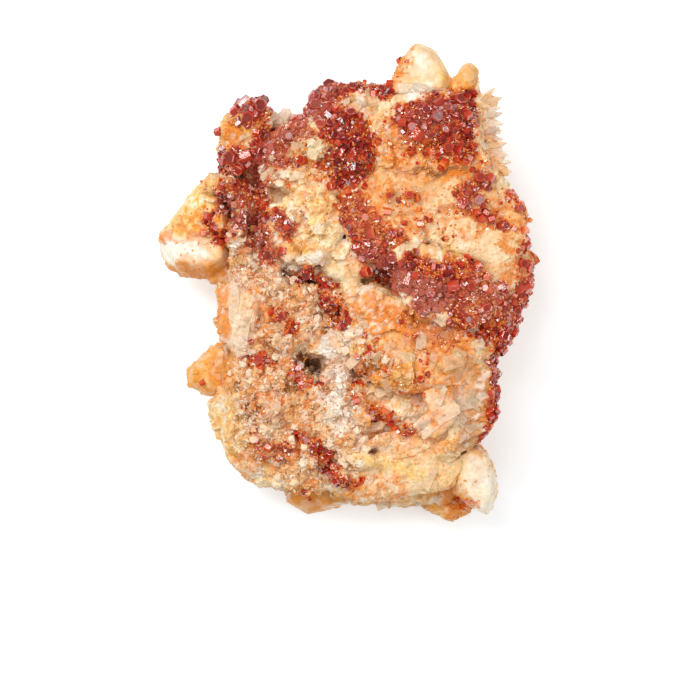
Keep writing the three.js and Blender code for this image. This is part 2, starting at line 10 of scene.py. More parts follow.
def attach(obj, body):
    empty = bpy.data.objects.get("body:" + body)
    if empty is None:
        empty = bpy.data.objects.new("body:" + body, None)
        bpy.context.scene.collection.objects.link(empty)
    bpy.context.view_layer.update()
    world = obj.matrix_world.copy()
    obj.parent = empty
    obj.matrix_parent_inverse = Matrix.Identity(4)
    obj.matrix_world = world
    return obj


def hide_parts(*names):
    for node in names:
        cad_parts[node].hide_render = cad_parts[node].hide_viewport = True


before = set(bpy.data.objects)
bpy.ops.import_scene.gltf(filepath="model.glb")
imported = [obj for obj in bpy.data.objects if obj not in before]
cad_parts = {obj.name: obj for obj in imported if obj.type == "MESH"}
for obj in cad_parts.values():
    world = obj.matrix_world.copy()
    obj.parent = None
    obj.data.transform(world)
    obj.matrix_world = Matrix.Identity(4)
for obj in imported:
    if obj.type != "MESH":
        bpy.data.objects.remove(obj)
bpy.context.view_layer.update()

noise.seed_set(7)  # without a seed, noise_vector gives other values in every run

mm = 0.001  # lengths below are in millimetres, and this turns them into metres

# The camera looks straight down from about a metre, and the photo is square
cameraSettings = {
    "x": 0.72, "y": -14.27, "height": 1000.0, "sensor": 36.0,
    "seenWidth": 143.7, "seenAt": 18.0,  # width of the frame at the specimen's middle height
}
lightSettings = {
    "world": 0.15,
    "lamps": {
        "keyMiddle": {"at": (-420, 380, 650), "size": 190, "watts": 1.22},
        "keyLeft": {"at": (-540, 100, 620), "size": 160, "watts": 0.8},
        "keyFar": {"at": (-200, 540, 620), "size": 160, "watts": 0.8},
        "keyHigh": {"at": (-280, 240, 800), "size": 160, "watts": 0.8},
        "keyLow": {"at": (-600, 380, 440), "size": 170, "watts": 0.8},
        "keyInner": {"at": (-90, 200, 900), "size": 150, "watts": 0.64},
        "keyNear": {"at": (-320, -220, 780), "size": 150, "watts": 0.53},
        "overhead": {"at": (120, -60, 840), "size": 760, "watts": 3.2},
        "right": {"at": (560, -60, 560), "size": 260, "watts": 1.1},
    },
    "lampTarget": (0, 0, 15),
    "floorGlow": 0.3,  # the floor gives off a little light of its own, so shadows stay faint
}


def addObject(name, data):
    added = bpy.data.objects.new(name, data)
    bpy.context.scene.collection.objects.link(added)
    return added


def makeCamera(settings):
    data = bpy.data.cameras.new("camera")
    data.sensor_width = settings["sensor"]
    distance = settings["height"] - settings["seenAt"]
    data.lens = settings["sensor"] * distance / settings["seenWidth"]
    camera = addObject("camera", data)
    camera.location = (settings["x"] * mm, settings["y"] * mm, settings["height"] * mm)
    bpy.context.scene.camera = camera


def makeAreaLight(name, settings, target):
    data = bpy.data.lights.new(name, "AREA")
    data.size = settings["size"] * mm
    data.energy = settings["watts"]
    lamp = addObject(name, data)
    lamp.location = [v * mm for v in settings["at"]]
    aim = Vector(target) * mm - lamp.location
    lamp.rotation_euler = aim.to_track_quat("-Z", "Y").to_euler()


def makeStudio(settings):
    world = bpy.data.worlds.new("studio")
    world.use_nodes = True
    background = world.node_tree.nodes["Background"].inputs
    background["Color"].default_value = (1, 1, 1, 1)
    background["Strength"].default_value = settings["world"]
    bpy.context.scene.world = world
    for name, lamp in settings["lamps"].items():
        makeAreaLight(name, lamp, settings["lampTarget"])
    view = bpy.context.scene.view_settings
    view.view_transform = "Standard"
    view.look = "None"


makeCamera(cameraSettings)
makeStudio(lightSettings)
print("camera and lights made")


# Colours are written as they look on a screen
def screen(red, green, blue):
    def straight(value):
        return value / 12.92 if value <= 0.04045 else ((value + 0.055) / 1.055) ** 2.4
    return np.array([straight(red), straight(green), straight(blue)])


palette = {
    "cream": screen(0.96, 0.86, 0.69), "white": screen(0.98, 0.94, 0.88), "peach": screen(0.95, 0.76, 0.53),
    "yellow": screen(0.97, 0.78, 0.40), "ochre": screen(0.90, 0.61, 0.24),
    "amber": screen(0.80, 0.47, 0.15), "orange": screen(0.93, 0.54, 0.17), "rust": screen(0.76, 0.30, 0.10),
    "blood": screen(0.56, 0.10, 0.05), "tan": screen(0.86, 0.66, 0.47), "clay": screen(0.72, 0.48, 0.32),
    "umber": screen(0.55, 0.34, 0.22), "pit": screen(0.30, 0.16, 0.10), "rose": screen(0.95, 0.86, 0.79),
    "salmon": screen(0.92, 0.58, 0.40), "grey": screen(0.78, 0.71, 0.66), "pane": screen(0.95, 0.85, 0.75),
    "mauve": screen(0.60, 0.34, 0.29),
}

# Where vanadinite grows: how thickly, and chains of x, y and half width
redGround = [
    (1.0, [(-19.8, 35.0, 3.6)]),
    (1.0, [(-23.6, 24.4, 2.6), (-20, 25, 3.0), (-17, 27, 1.8), (-16.6, 30.5, 1.2)]),
    (1.0, [(-6.5, 35.6, 2.6), (-3.6, 38.4, 3.0)]),
    (0.8, [(-1.4, 36.8, 1.6), (1, 38.8, 1.6), (5, 38.9, 1.6), (8.4, 38.4, 1.4)]),
    (0.75, [(-17, 21.5, 2.6), (-15, 25.5, 3.4), (-11.5, 29.5, 3.2), (-6, 31.6, 2.8), (1, 32, 3.2)]),
    (0.6, [(-13, 22, 2.4), (-9, 23, 2.2), (-6, 24, 2.6)]),
    (1.0, [(-2.6, 32, 3.2), (0.6, 29, 4.6), (1.6, 25, 4.4), (0, 21.4, 4.6)]),
    (1.0, [(13, 32, 3.6), (18, 33, 4.8), (22.6, 34, 4.2), (21, 29, 4.6)]),
    (0.7, [(13, 28.6, 3.0), (18, 26.6, 3.0), (24, 25.6, 2.6)]),
    (0.22, [(9, 32, 2.6), (10, 26, 2.6), (15, 24.4, 1.8), (27, 24, 2.0)]),
    (0.7, [(24, 17, 2.4), (26.6, 20, 2.2), (29, 20.4, 1.6)]),
    (0.6, [(24.6, 16, 2.2), (27.4, 13, 1.8), (31.6, 11.6, 1.6)]), (0.3, [(9, 17, 1.8), (13, 16.8, 1.6)]),
    (0.1, [(9, 13, 3), (15, 11.4, 3), (21, 11, 3.4), (30, 15, 3.4)]),
    (0.45, [(34.6, 17, 1.4), (36, 12, 2.0), (36.8, 6, 2.2), (37, 0, 2.2)]),
    (0.85, [(37, -1, 2.0), (35.6, -5, 3.0), (32.8, -10, 2.8)]),
    (1.0, [(0.6, 16, 2.6), (3, 12, 3.6), (6, 9, 3.6), (11, 7.4, 2.2)]),
    (1.0, [(3.6, 6.6, 2.6), (7, 4, 3.4), (9, 1.4, 3.0), (13, 1.6, 3.8), (18, -1.4, 4.6), (23, 0, 4.2),
        (27, -3.6, 4.4), (31, -7, 4.0)]),
    (0.8, [(15, -5.4, 2.4), (21, -6.6, 2.4), (28.6, -10.6, 2.6)]),
    (0.35, [(13, -8.4, 2.4), (19, -11, 2.6), (24, -12, 2.4)]),
    (0.9, [(31, -13, 1.6), (30.6, -18, 1.4), (30.8, -23, 1.6), (30, -28, 1.6), (28.8, -32, 1.4)]),
    (0.85, [(-24.4, 17.4, 2.6), (-21, 12, 3.0), (-18.4, 9, 2.6), (-15.6, 5.4, 2.2)]),
    (0.8, [(-21, 18.6, 2.0), (-18, 16, 2.2), (-16.4, 12.6, 1.6)]), (0.7, [(-27, 12, 2.2), (-26, 8.6, 1.8)]),
    (0.8, [(-14, 12.6, 1.8), (-12, 9.6, 1.8)]), (0.9, [(-10, 0.4, 1.6), (-7.4, 1.6, 1.2), (-3, -1.6, 1.0)]),
    (0.7, [(-4, -3.4, 2.2), (-2, -7.6, 2.4), (0.6, -8.4, 1.4)]),
    (0.7, [(-14.4, -7.2, 1.6), (-12.4, -7.6, 1.3), (-11, -10.8, 1.2)]),
    (0.6, [(-20, -16.2, 1.4), (-16.6, -16.6, 1.6)]),
    (0.6, [(-10.4, -18, 1.4), (-9.4, -21, 1.2), (-6.4, -21.4, 1.2)]),
    (0.5, [(-19, -33, 1.6), (-16.4, -35.4, 1.8), (-12, -34.4, 1.6)]),
    (0.9, [(-10, -31.4, 1.3), (-7, -33.6, 1.5), (-4.4, -35.8, 1.6), (-3.2, -39, 1.3), (0.6, -41.6, 1.6)]),
    (0.5, [(5.4, -26.4, 1.4), (8.6, -28, 1.6), (13, -31, 1.2)]), (0.2, [(8, -17.4, 2.2), (11, -20.6, 2.2)]),
    (0.3, [(2, -24.4, 1.6), (4, -11.4, 1.4), (14, -24, 1.6), (17, -15, 2.0)]), (0.45, [(-28.4, 12, 2.0)]),
    (0.3, [(-29, 19.4, 1.0)]), (0.05, [(22, -46, 1.8), (26, -45.6, 1.4)]), (0.2, [(-8.6, -43.4, 1.0)]),
    (0.3, [(9.6, 41, 1.0), (12.4, 45, 0.8)]),
]

# Where thin plates of barite stand out of the rock
flakeGround = [
    (1.0, [(4, -12, 4), (12, -14, 6), (22, -16, 6)]), (1.0, [(10, -26, 5), (20, -26, 8)]),
    (0.7, [(0, -14, 3), (-2, -28, 4)]), (0.6, [(28, 32, 3), (30, 26, 2)]),
    (0.5, [(-13, -4, 4), (-14, -12, 5)]), (0.5, [(-20, -8, 4)]), (0.5, [(-14, -26, 6)]),
    (0.4, [(-20, 14, 5)]), (0.5, [(-18, 28, 4)]), (0.4, [(8, 24, 5)]), (0.4, [(4, 36, 4)]),
    (0.5, [(4, -43, 4), (16, -44, 6)]), (0.4, [(-2, 8, 4)]),
]

# Bare patches inside the red ground
bareGround = [
    [(-9.6, 26.6, 1.8)], [(-6.6, 27.4, 1.4), (-6.4, 24.6, 1.4)], [(-9.6, 21.4, 1.6), (-8, 23.4, 1.2)],
    [(-14.4, 21.8, 1.4), (-10.6, 20.8, 1.4)], [(-6.4, 32, 1.2)], [(-13, 33, 2)],
    [(2, 36, 2.2), (5, 35.6, 2)], [(10.4, 5.8, 0.9), (13.6, 6.6, 1.0)], [(4.6, 2.6, 1.2)], [(0.8, 4, 1.2)],
    [(18.4, -8, 1.6)], [(-22, 9, 1.4)], [(-25.6, 12, 1.6)], [(-20.8, 14.6, 1.2)], [(-20.4, 29, 1.6)],
]

# Hollows cut in the rock before it is weathered, and lumps raised on it: millimetres, chain
carving = [
    (3.0, [(-26, 17.5, 1.2), (-24, 15, 1.4), (-22.6, 12.6, 1.1)]),
    (2.5, [(-20.6, 18.6, 1.0), (-17.4, 17.6, 1.2)]),
    (2.6, [(-20, 10.6, 1.0), (-18.2, 12.6, 1.2), (-17, 10, 1.0)]),
    (3.0, [(-16.6, 8.2, 1.1), (-14.8, 6.6, 1.0)]),
    (3.6, [(-13, 1.4, 1.0), (-9.6, 0.2, 1.3), (-5.4, -0.8, 1.1)]),
    (3.8, [(-9.2, -15.6, 1.6), (-6.6, -17.8, 2.4), (-6, -19.8, 1.6)]),
    (2.8, [(1, -19.3, 1.5), (4, -18.6, 2.0), (6.3, -17.6, 1.3)]), (2.0, [(5.6, -35, 1.2)]),
    (2.0, [(-16.2, 29.4, 0.8), (-17.4, 22, 0.9)]), (2.2, [(10, 2.6, 0.8), (9.6, 1.2, 0.8)]),
    (2.0, [(19.9, -1.2, 0.6), (19.7, -4, 0.6)]), (1.8, [(-10, -31.5, 1.1), (-4, -36, 1.3), (-3, -40, 1.1)]),
    (1.8, [(-20.6, -25.8, 1.0)]), (1.8, [(-23, -22, 1.0)]), (1.6, [(-15.2, -21.5, 0.9)]),
    (1.6, [(-12.4, -22, 0.9)]), (1.6, [(-16.6, -33.6, 1.2)]), (1.4, [(-10.6, -26.6, 0.9)]),
    (1.6, [(-13.5, -37.5, 1.0)]), (1.6, [(-19.5, -30.5, 1.0)]),
    (1.2, [(7.4, -33.6, 0.5), (7, -37, 0.5), (6.4, -40, 0.5)]), (2.0, [(4.2, 23, 0.8)]),
    (1.2, [(-2, -6, 1.0), (-6, -8, 1.0)]), (-1.5, [(-25.8, 12.6, 1.6), (-25.2, 10.6, 1.4)]),
    (-1.3, [(-22, 9, 1.6)]), (-1.3, [(-21, 15.4, 1.0), (-20.4, 13.6, 0.9)]), (-1.3, [(-2, -39.5, 1.7)]),
    (-1.6, [(-12.6, -13.2, 1.9), (-10.6, -13, 1.6)]), (-1.4, [(-22.7, -1, 1.5), (-22.2, -12, 1.5)]),
    (-1.1, [(-26, 19.4, 1.6), (-22, 20.4, 1.6)]), (-1.1, [(21, -34, 0.8), (29.8, -29.3, 0.8)]),
    (-0.9, [(-14.5, -26.5, 1.4)]), (-0.9, [(-16.6, -25, 1.3)]), (-1.2, [(2, -15, 1.5), (6, -15.6, 1.2)]),
    (-1.3, [(21.5, -16.5, 2.2)]), (-1.0, [(0, -12, 1.2), (-1, -22, 1.2)]),
    (-1.0, [(-14.6, 4.4, 0.8), (-9.4, 3.8, 0.9), (-5.4, 5, 0.8)]),
    (-1.0, [(8, 13.6, 0.6), (15, 14.4, 0.6), (22, 15.6, 0.6)]), (-1.2, [(-9, 30, 1.6), (-4, 27, 2)]),
]

# Colours of the rock, laid over each other in this order: colour, strength, softness, chains
rockPaint = [
    ("peach", 0.75, 0.5, [[(12, 26, 5), (22, 26, 5)], [(9, 15, 5), (18, 17, 6), (28, 15, 6), (31, 6, 4)],
        [(15, 42, 6)], [(26, 36, 4), (29, 27, 3)]]),
    ("yellow", 0.6, 0.6, [[(-33, 12, 5), (-28, 16, 5)], [(-21, 29, 5)], [(-9, 11, 6), (-5, 14, 4)],
        [(19.6, 44, 1.6), (20.6, 40, 1.6), (20, 37.6, 1.4)], [(28, -12, 3)],
        [(24, -38, 1.4), (21.4, -41.6, 1.4)], [(-23.6, -28, 4), (-22, -34, 3)], [(20, -20, 4)],
        [(4, -16, 3)], [(-22, -4, 2)]]),
    ("ochre", 0.8, 0.5, [[(24, 41.4, 3.4)], [(-37, 3.4, 1.6), (-33, 1.4, 1.8), (-27, 1.6, 2)],
        [(-28.4, -18.6, 6)], [(-10, -45.8, 4), (-4, -46, 3), (0, -44.6, 2)],
        [(6, -45, 2.2), (14, -44.6, 2.2), (23, -46.4, 3)], [(-25.4, -2, 1.6), (-25.6, -12, 1.8)],
        [(-26, 23, 2), (-25.6, 28, 2)], [(13.6, 33, 3), (10, 30, 2)]]),
    ("tan", 0.8, 0.6, [[(-22, 4, 4), (-12, -2, 5), (-5, -6, 5)], [(-12, -12, 6), (-16, -21, 7)],
        [(-12, -30, 10), (-8, -37, 7)], [(-4, -22, 5), (0, -30, 4)], [(-26, 19.6, 3)], [(-22, 10, 5)],
        [(3, 36, 3.4)], [(29, 30, 2)]]),
    ("rose", 0.8, 0.5, [[(-22.4, -1, 3), (-22.4, -12, 3)], [(0, -12, 3.4), (-1.6, -20, 3), (-1, -29, 3)],
        [(6, -7, 3), (10, -13, 3)], [(22, -24, 5)], [(25.6, -10.4, 2), (26.4, -13.4, 2)],
        [(-13, 32.6, 2.4)], [(-16, -26, 3)], [(12, -2, 2)]]),
    ("white", 0.85, 0.5, [[(-36, 7, 3), (-32, 6, 3)], [(-14.4, 3.8, 1.4), (-10, 3.4, 1.6), (-6, 4.4, 1.2)],
        [(27, -41, 4), (28, -45, 2.6)], [(6, -38, 5), (16, -38.4, 4)], [(15, 37.6, 2.2)],
        [(-18.8, 27.2, 1.2), (-20.6, 29, 0.8)], [(-6.2, 32, 1.2)], [(14.6, -29, 2.4), (20, -24, 2.6)],
        [(-22, -8, 1.6)], [(3, -11, 2)], [(18.4, -8.2, 1.6)]]),
    ("orange", 0.75, 0.8, [[(8, 24, 2), (16, 22.4, 1.4), (26, 22, 2)], [(10, -18, 4)], [(-15.6, -26, 2.4)],
        [(8, -8, 3), (14, -11, 3)], [(5.4, 19, 2.4), (6.4, 14, 2)], [(-25.4, -3, 1.2), (-25.4, -10, 1.2)],
        [(-18.6, -5, 1.2), (-17.2, -11.6, 1.2)], [(27, -6, 3), (29.6, -13, 2)],
        [(10, 43, 1.2), (12, 46.4, 1)], [(5, -27, 2.6), (10, -29, 1.6)], [(-29.6, 12, 2.2)],
        [(23, -46.4, 2.2)], [(4.6, 1.4, 2)], [(-22, 26, 2)]]),
    ("salmon", 0.7, 0.6, [[(13, -9, 1.6), (18, -12.4, 1.8)], [(21.5, -16.4, 1.8)], [(4.6, 2.6, 1.6)],
        [(0.8, 4, 1.4)]]),
    ("clay", 0.7, 0.6, [[(-16, -36, 3)], [(-20, -25, 2)], [(-12, -22, 2)], [(-5, -10, 2.4)],
        [(4, -19, 2.6)], [(14, 11.4, 2)], [(8, -22.6, 2)], [(21.4, -33.4, 1), (27, -30.6, 1)]]),
    ("grey", 0.6, 0.6, [[(3.4, -19, 2)], [(28, 33, 2)], [(5.6, -35, 1.2)]]),
    ("tan", 0.75, 0.6, [[(27, -23, 3), (28, -28, 3.4), (24, -33, 2.6)], [(20, -23, 3)], [(24, -18, 3)]]),
    ("orange", 0.5, 0.8, [[(7, -7, 4), (16, -11, 4), (23, -14, 3)], [(9, -19, 4.4), (14, -20, 4)],
        [(5, -31, 2), (12, -32, 3)]]),
    ("yellow", 0.6, 0.7, [[(12, -36, 1.8)], [(20, -40, 2.6)], [(3, -37, 2.5)], [(11, -18, 2.4)],
        [(19, -35, 3)]]),
    ("peach", 0.6, 0.6, [[(8, -38.6, 6), (18, -39, 6)], [(16, -26, 6)], [(-22, -6, 4)]]),
    ("ochre", 0.8, 0.7, [[(-22, 30, 4)], [(-38, 1.6, 2), (-30, 0.6, 2.4)], [(4, -45, 3), (20, -46, 3)],
        [(24.6, -12, 3)]]),
    ("amber", 0.5, 0.8, [[(-24.5, 28, 2)], [(-18, 30, 1.6)], [(26, -31, 2)], [(8, -17, 2.6)]]),
    ("yellow", 0.7, 0.8, [[(-34, 12.4, 4), (-29, 16.4, 4)], [(-31, 9.6, 3)], [(-28, -18, 4)]]),
    ("white", 0.7, 0.6, [[(-37, 7, 2.6), (-32, 6, 3.4)]]),
    ("orange", 0.6, 0.8, [[(-38, 1.4, 1.6), (-30, 0.8, 2)], [(-28.6, 12, 2.6)],
        [(-25, -3, 1.6), (-25, -11, 1.6)]]),
    ("mauve", 0.75, 0.8, [[(-24, 17, 3), (-20, 14, 3), (-17.4, 9, 2.6)], [(-16, 22, 3), (-12.6, 27, 2.6)],
        [(-18, 18, 3)]]),
    ("clay", 0.5, 0.9, [[(-19, 20, 3)], [(-22, 7, 2.4)], [(-14, 8, 2)]]),
    ("yellow", 0.65, 0.8, [[(5, -9, 2.4), (9, -12, 2.4)], [(12, -17, 3)], [(10, -22, 2)], [(26.6, -13, 2)],
        [(3, -14, 2)]]),
    ("orange", 0.55, 0.9, [[(1, -5, 2.4), (5, -4, 2)], [(6.4, -11, 2)], [(12, -13, 2)], [(16.6, -18, 2)],
        [(18, -28.6, 2)]]),
    ("rust", 0.5, 0.9, [[(13.4, -9, 1.6), (18, -12.6, 1.6)], [(3, -24.6, 1.4)], [(6.6, -27, 1.8)],
        [(21, -12, 1.4)]]),
    ("clay", 0.55, 0.9, [[(27.6, -25, 2)], [(29, -21, 1.4)], [(3, -19, 2.4)], [(-11, -22, 3)],
        [(-20, -28, 3)], [(-17, -35, 4)]]),
    ("rose", 0.6, 0.7, [[(-2, -13, 2), (-2.6, -20, 2)], [(-1, -27, 2)], [(-15, 2, 2.4)], [(-8, -9, 2.4)]]),
    ("ochre", 0.9, 0.8, [[(-8, -46, 3.4), (-3, -46.4, 3)], [(-29, -19, 5)],
        [(-38, 1.4, 2), (-31, -0.4, 2.4)], [(9, -45.6, 2)]]),
    ("amber", 0.8, 0.9, [[(-10.6, -44.6, 2)], [(-25.4, -16, 2), (-26, -20, 1.6)], [(24, -46.4, 1.6)],
        [(22, -43, 0.8)]]),
    ("white", 0.8, 0.7, [[(26.4, -38, 2.4), (28, -43, 2.6)], [(14.6, 44, 3)], [(14, 37.4, 2)]]),
    ("cream", 0.55, 0.9, [[(18, 13.6, 2.4), (26, 12.6, 3)], [(31, 5, 2.4)]]),
    ("clay", 0.5, 0.9, [[(28.4, -24, 2.4)], [(29, -29, 1.6)], [(27, -34, 1.4)]]),
    ("white", 0.7, 0.8, [[(-3.4, -22, 3), (-1, -28, 3)], [(-4, -13, 2)], [(31, 34, 2.4), (30, 29, 2)],
        [(-10, 12, 2.4)]]),
    ("cream", 0.8, 0.8, [[(6, -44, 2.6), (14, -44, 2.6)], [(31, 26, 2)], [(-14, -31, 2.6)], [(-6, -30, 2)],
        [(11, -19, 1.6)]]),
    ("orange", 0.45, 1.0, [[(-38.6, 9.4, 1.0), (-35, 8.6, 0.9)], [(22.4, -46.6, 2.4)],
        [(-25.6, -4, 1.4), (-26, -12, 1.2)], [(7, -19, 2.4)]]),
    ("tan", 0.8, 0.8, [[(27.6, -20, 2.6), (28.6, -27, 2.6), (26, -32, 2.4)], [(22, -20, 2)],
        [(24.6, -28, 2.2)]]),
    ("ochre", 0.85, 0.8, [[(-36, 0.6, 2.6), (-30, -0.6, 2.6), (-26, 0.4, 2)],
        [(-10, -45, 2.6), (-4, -46.6, 2.6)], [(20, -20.4, 2)]]),
    ("clay", 0.6, 0.9, [[(28.6, -22, 2.2)], [(28.4, -30, 1.6)]]),
    # Painted shade: umber along the crevices of the west hollow
    ("umber", 0.6, 0.9, [[(-24, 18, 1.6), (-20, 17, 1.6), (-17.6, 13, 1.2)], [(-23.4, 10.6, 1.0)],
        [(-16.6, 8, 1.2)]]),
    ("tan", 0.6, 0.9, [[(8, 24, 3), (14, 22, 3), (22, 21, 4)], [(10, 16, 3), (17, 18, 3)], [(29, 16, 3)],
        [(11, 30, 2)]]),
    ("ochre", 0.45, 0.9, [[(7, 20, 2), (10, 27, 2)], [(16, 20, 2), (24, 22.6, 2)], [(28, 17, 2)],
        [(32, 9, 2)], [(27, 2, 2)]]),
    ("white", 0.9, 0.8, [[(31, 35, 2), (31, 30, 2), (32.6, 25, 1.6)],
        [(-36.6, 6.4, 2.4), (-31, 5.4, 2.4)]]),
    ("clay", 0.65, 0.9, [[(26.8, -18, 2.0)], [(28, -26, 2.2)], [(24, -31, 2)], [(-36, -0.6, 2)]]),
    ("yellow", 0.8, 0.9, [[(8, -17.6, 2.6), (11, -20, 2.2)], [(6, -22, 1.6)]]),
    ("orange", 0.7, 0.9, [[(7.6, -18.6, 1.6)], [(10.6, -17, 1.2)], [(26.6, -21, 1.4)], [(28, -28.6, 1.2)]]),
    ("ochre", 0.5, 0.9, [[(28, -20, 2.2), (28.4, -28, 2.4)], [(-37, -0.4, 2), (-30, -1.4, 2)]]),
    ("cream", 0.6, 0.9, [[(16, 13, 3), (24, 11.6, 3)], [(30, 8, 2)], [(4, -44.6, 2), (14, -45, 2)]]),
    ("white", 0.75, 0.9, [[(-3.6, -23, 2.6), (-1.6, -29, 2.6)], [(-36, 7.4, 2)]]),
    ("amber", 0.5, 0.9, [[(-37, -0.6, 2), (-31, -1.6, 2)], [(-7, -46.6, 2)]]),
    ("orange", 0.55, 0.9, [[(17, -27, 1.6), (19.6, -30, 1.4)], [(22.6, -22.6, 1.4)], [(25, -27, 1.2)],
        [(14, -24.6, 1.6)]]),
    ("peach", 0.7, 0.9, [[(12.8, 44, 2.2), (13.2, 40.6, 2.2)], [(10, -37, 3), (18, -38.4, 3)],
        [(24, 4, 3)]]),
    ("cream", 0.6, 0.9, [[(17.4, 42, 1.8)], [(26, -40, 2.8), (27.6, -44, 2)],
        [(29, 33, 1.8), (29.6, 28, 1.6)]]),
    ("ochre", 0.85, 0.9, [[(-34, 2.6, 1.8), (-28, 2.0, 2.0)], [(-22.6, 30, 2.6)]]),
    ("amber", 0.45, 0.9, [[(-33, 0.8, 1.6), (-28, 0.4, 1.6)], [(-23, 29.6, 2.4)]]),
    ("clay", 0.5, 0.9, [[(26.6, -21, 2.6), (27.6, -27, 2.6)], [(25, -32, 2)]]),
    ("yellow", 0.6, 0.9, [[(9.6, -20.8, 3)], [(6, -37, 2), (14, -39.6, 2)], [(21, 5, 2.6)]]),
]

# Painted shade: dark brown and near-black in the hollows and crevices, laid over all the rest
pitShadePaint = [
    ("umber", 0.85, 0.5, [[(-24.6, 15.6, 1.8)], [(-6.8, -17.4, 2.4), (-9.4, -15.8, 1.4)],
        [(-18.6, 18, 1.6)], [(-12, 1.2, 1.4), (-5, -0.6, 1.2)], [(-15.6, 7.4, 1.2)], [(-23, -22, 1)],
        [(-18, 12, 1.4)], [(-10, -22.6, 1.2)], [(6, -35, 1)], [(-21.4, 21, 1.6)],
        [(13.6, 21.3, 0.5), (24, 22.6, 0.5)], [(-16.6, -33.4, 1.4)]]),
    ("pit", 0.9, 0.4, [[(-8.4, -17, 0.9)], [(-21.4, 20.8, 1.0)], [(-25, 16.2, 0.8)],
        [(-8.8, 0.0, 1.0), (-5.6, -0.4, 0.6)], [(4.2, 23, 0.8)], [(9.8, 1.8, 0.7)], [(5.8, -35, 0.6)],
        [(-15.3, 7.5, 0.7)], [(20, -1, 0.4), (19.8, -3.6, 0.4)], [(-18.5, 18, 0.8)]]),
]

# Where fine orange crystals lie as a dust over the barite
dustGround = [
    (0.9, [(8, 31, 3), (9, 26, 3), (16, 23.4, 3), (25, 23, 4)]),
    (0.55, [(9, 19, 4), (16, 18, 5), (25, 17, 6)]), (0.95, [(27, 19, 3), (25, 14, 2)]),
    (0.6, [(12, 12, 3), (20, 12, 4), (30, 12, 5)]), (0.9, [(33, 8, 3), (35, 14, 3)]), (0.7, [(32, 0, 3)]),
    (0.8, [(26, 38, 2)]), (0.5, [(29, 30, 2), (30, 24, 3)]),
    (0.7, [(9, 41, 1.6), (11, 45, 1.6), (13.4, 47.4, 1)]), (0.7, [(5, -6, 4), (10, -12, 5), (18, -13, 5)]),
    (0.8, [(9, -19, 4)]), (0.5, [(16, -21, 5), (24, -18, 4)]), (0.6, [(-15, -25, 5)]),
    (0.5, [(-8, -23, 4), (-9, -31, 5)]), (0.4, [(-12, -8, 6)]), (0.6, [(-30, 11, 5)]),
    (0.25, [(-32, 2, 3)]), (0.6, [(-38, 10, 1.6), (-34, 8.6, 1.4)]), (0.9, [(22.6, -46.4, 2.6)]),
    (0.7, [(-18, -6, 2), (-17, -12, 2)]), (0.6, [(-21, 30, 5)]), (0.5, [(-8, 20, 5)]),
    (0.4, [(10, -32, 5), (20, -34, 3)]), (0.7, [(23, -45, 4)]), (0.25, [(28, -40, 2), (29, -36, 2)]),
    (0.6, [(2, -42, 3), (10, -43, 3)]), (0.4, [(-2, 14, 3)]), (0.5, [(-21, -38, 3)]),
    (0.4, [(-26, -20, 4)]),
]

# Where the rock is granular, and where it is smooth or waxy
crumblyGround = [
    (1.0, [(-22, 4, 4), (-13, -2, 5), (-5, -6, 5)]), (1.0, [(-12, -12, 6), (-16, -21, 8)]),
    (1.0, [(-12, -30, 11), (-8, -37, 7)]), (0.9, [(-4, -22, 5), (0, -30, 4), (0, -36, 4)]),
    (0.9, [(-22, 14, 5), (-21, 9, 5)]), (0.7, [(4, -20, 4)]), (0.6, [(-14, 25, 5), (-6, 25, 5)]),
    (0.5, [(-7, 11, 6)]), (0.6, [(0, -9, 4), (8, -20, 4)]),
]
smoothGround = [
    (1.0, [(10, 16, 5), (20, 17, 6), (30, 14, 6), (29, 5, 5)]), (1.0, [(-35, 8, 5), (-28, 4, 4)]),
    (1.0, [(8, -38, 5), (17, -38, 5)]), (1.0, [(26, -41, 6)]), (1.0, [(15, 42, 8)]),
    (1.0, [(-22.4, -2, 3), (-22.4, -11, 3)]), (0.8, [(20, -26, 6)]), (0.7, [(14, -14, 5), (22, -17, 5)]),
    (0.8, [(-28, -19, 6)]), (0.8, [(-8, -45, 5)]),
]


# How far spots are from a chain of circles, in radii of the circle at the nearest place on it
def nearness(spots, chain):
    best = np.full(len(spots), 1e9)
    following = chain[1:] if len(chain) > 1 else chain
    for (ax, ay, ar), (bx, by, br) in zip(chain, following):
        run = np.array([bx - ax, by - ay])
        along = np.clip((spots - [ax, ay]) @ run / max(run @ run, 1e-9), 0, 1)
        away = np.linalg.norm(spots - [ax, ay] - along[:, None] * run, axis=1)
        best = np.minimum(best, away / (ar + along * (br - ar)))
    return best


def eased(value, low, high):
    share = np.clip((value - low) / (high - low), 0, 1)
    return share * share * (3 - 2 * share)


# 1 inside a chain and 0 outside it, with an edge as soft as is asked
def inside(near, softness):
    return 1 - eased(near, 1 - softness * 0.5, 1 + softness * 0.5)


def paintMask(spots, chains, softness):
    return inside(np.min([nearness(spots, chain) for chain in chains], axis=0), softness)


def groundMask(spots, ground, softness=0.6):
    mask = np.zeros(len(spots))
    for strength, chain in ground:
        mask = np.maximum(mask, strength * inside(nearness(spots, chain), softness))
    return mask


def noiseAt(places, size, seed):
    shift = Vector((seed * 17.3, seed * 5.1, seed * 9.7))
    return np.array([noise.noise(Vector(p) / size + shift) for p in places])


def strayed(places, size, reach, seed):
    shift = Vector((seed * 7.3, seed * 15.1, seed * 3.7))
    moves = np.array([noise.noise_vector(Vector(p) / size + shift) for p in places])
    return places + reach * moves


# Grains that touch each other: 0 where two meet, and higher inside them
def grains(places, size, seed):
    shift = Vector((seed * 3.3, seed * 7.7, seed * 1.9))
    near = [noise.voronoi(Vector(p) / size + shift)[0] for p in places]
    return np.array([(second - first) for first, second, *_ in near])


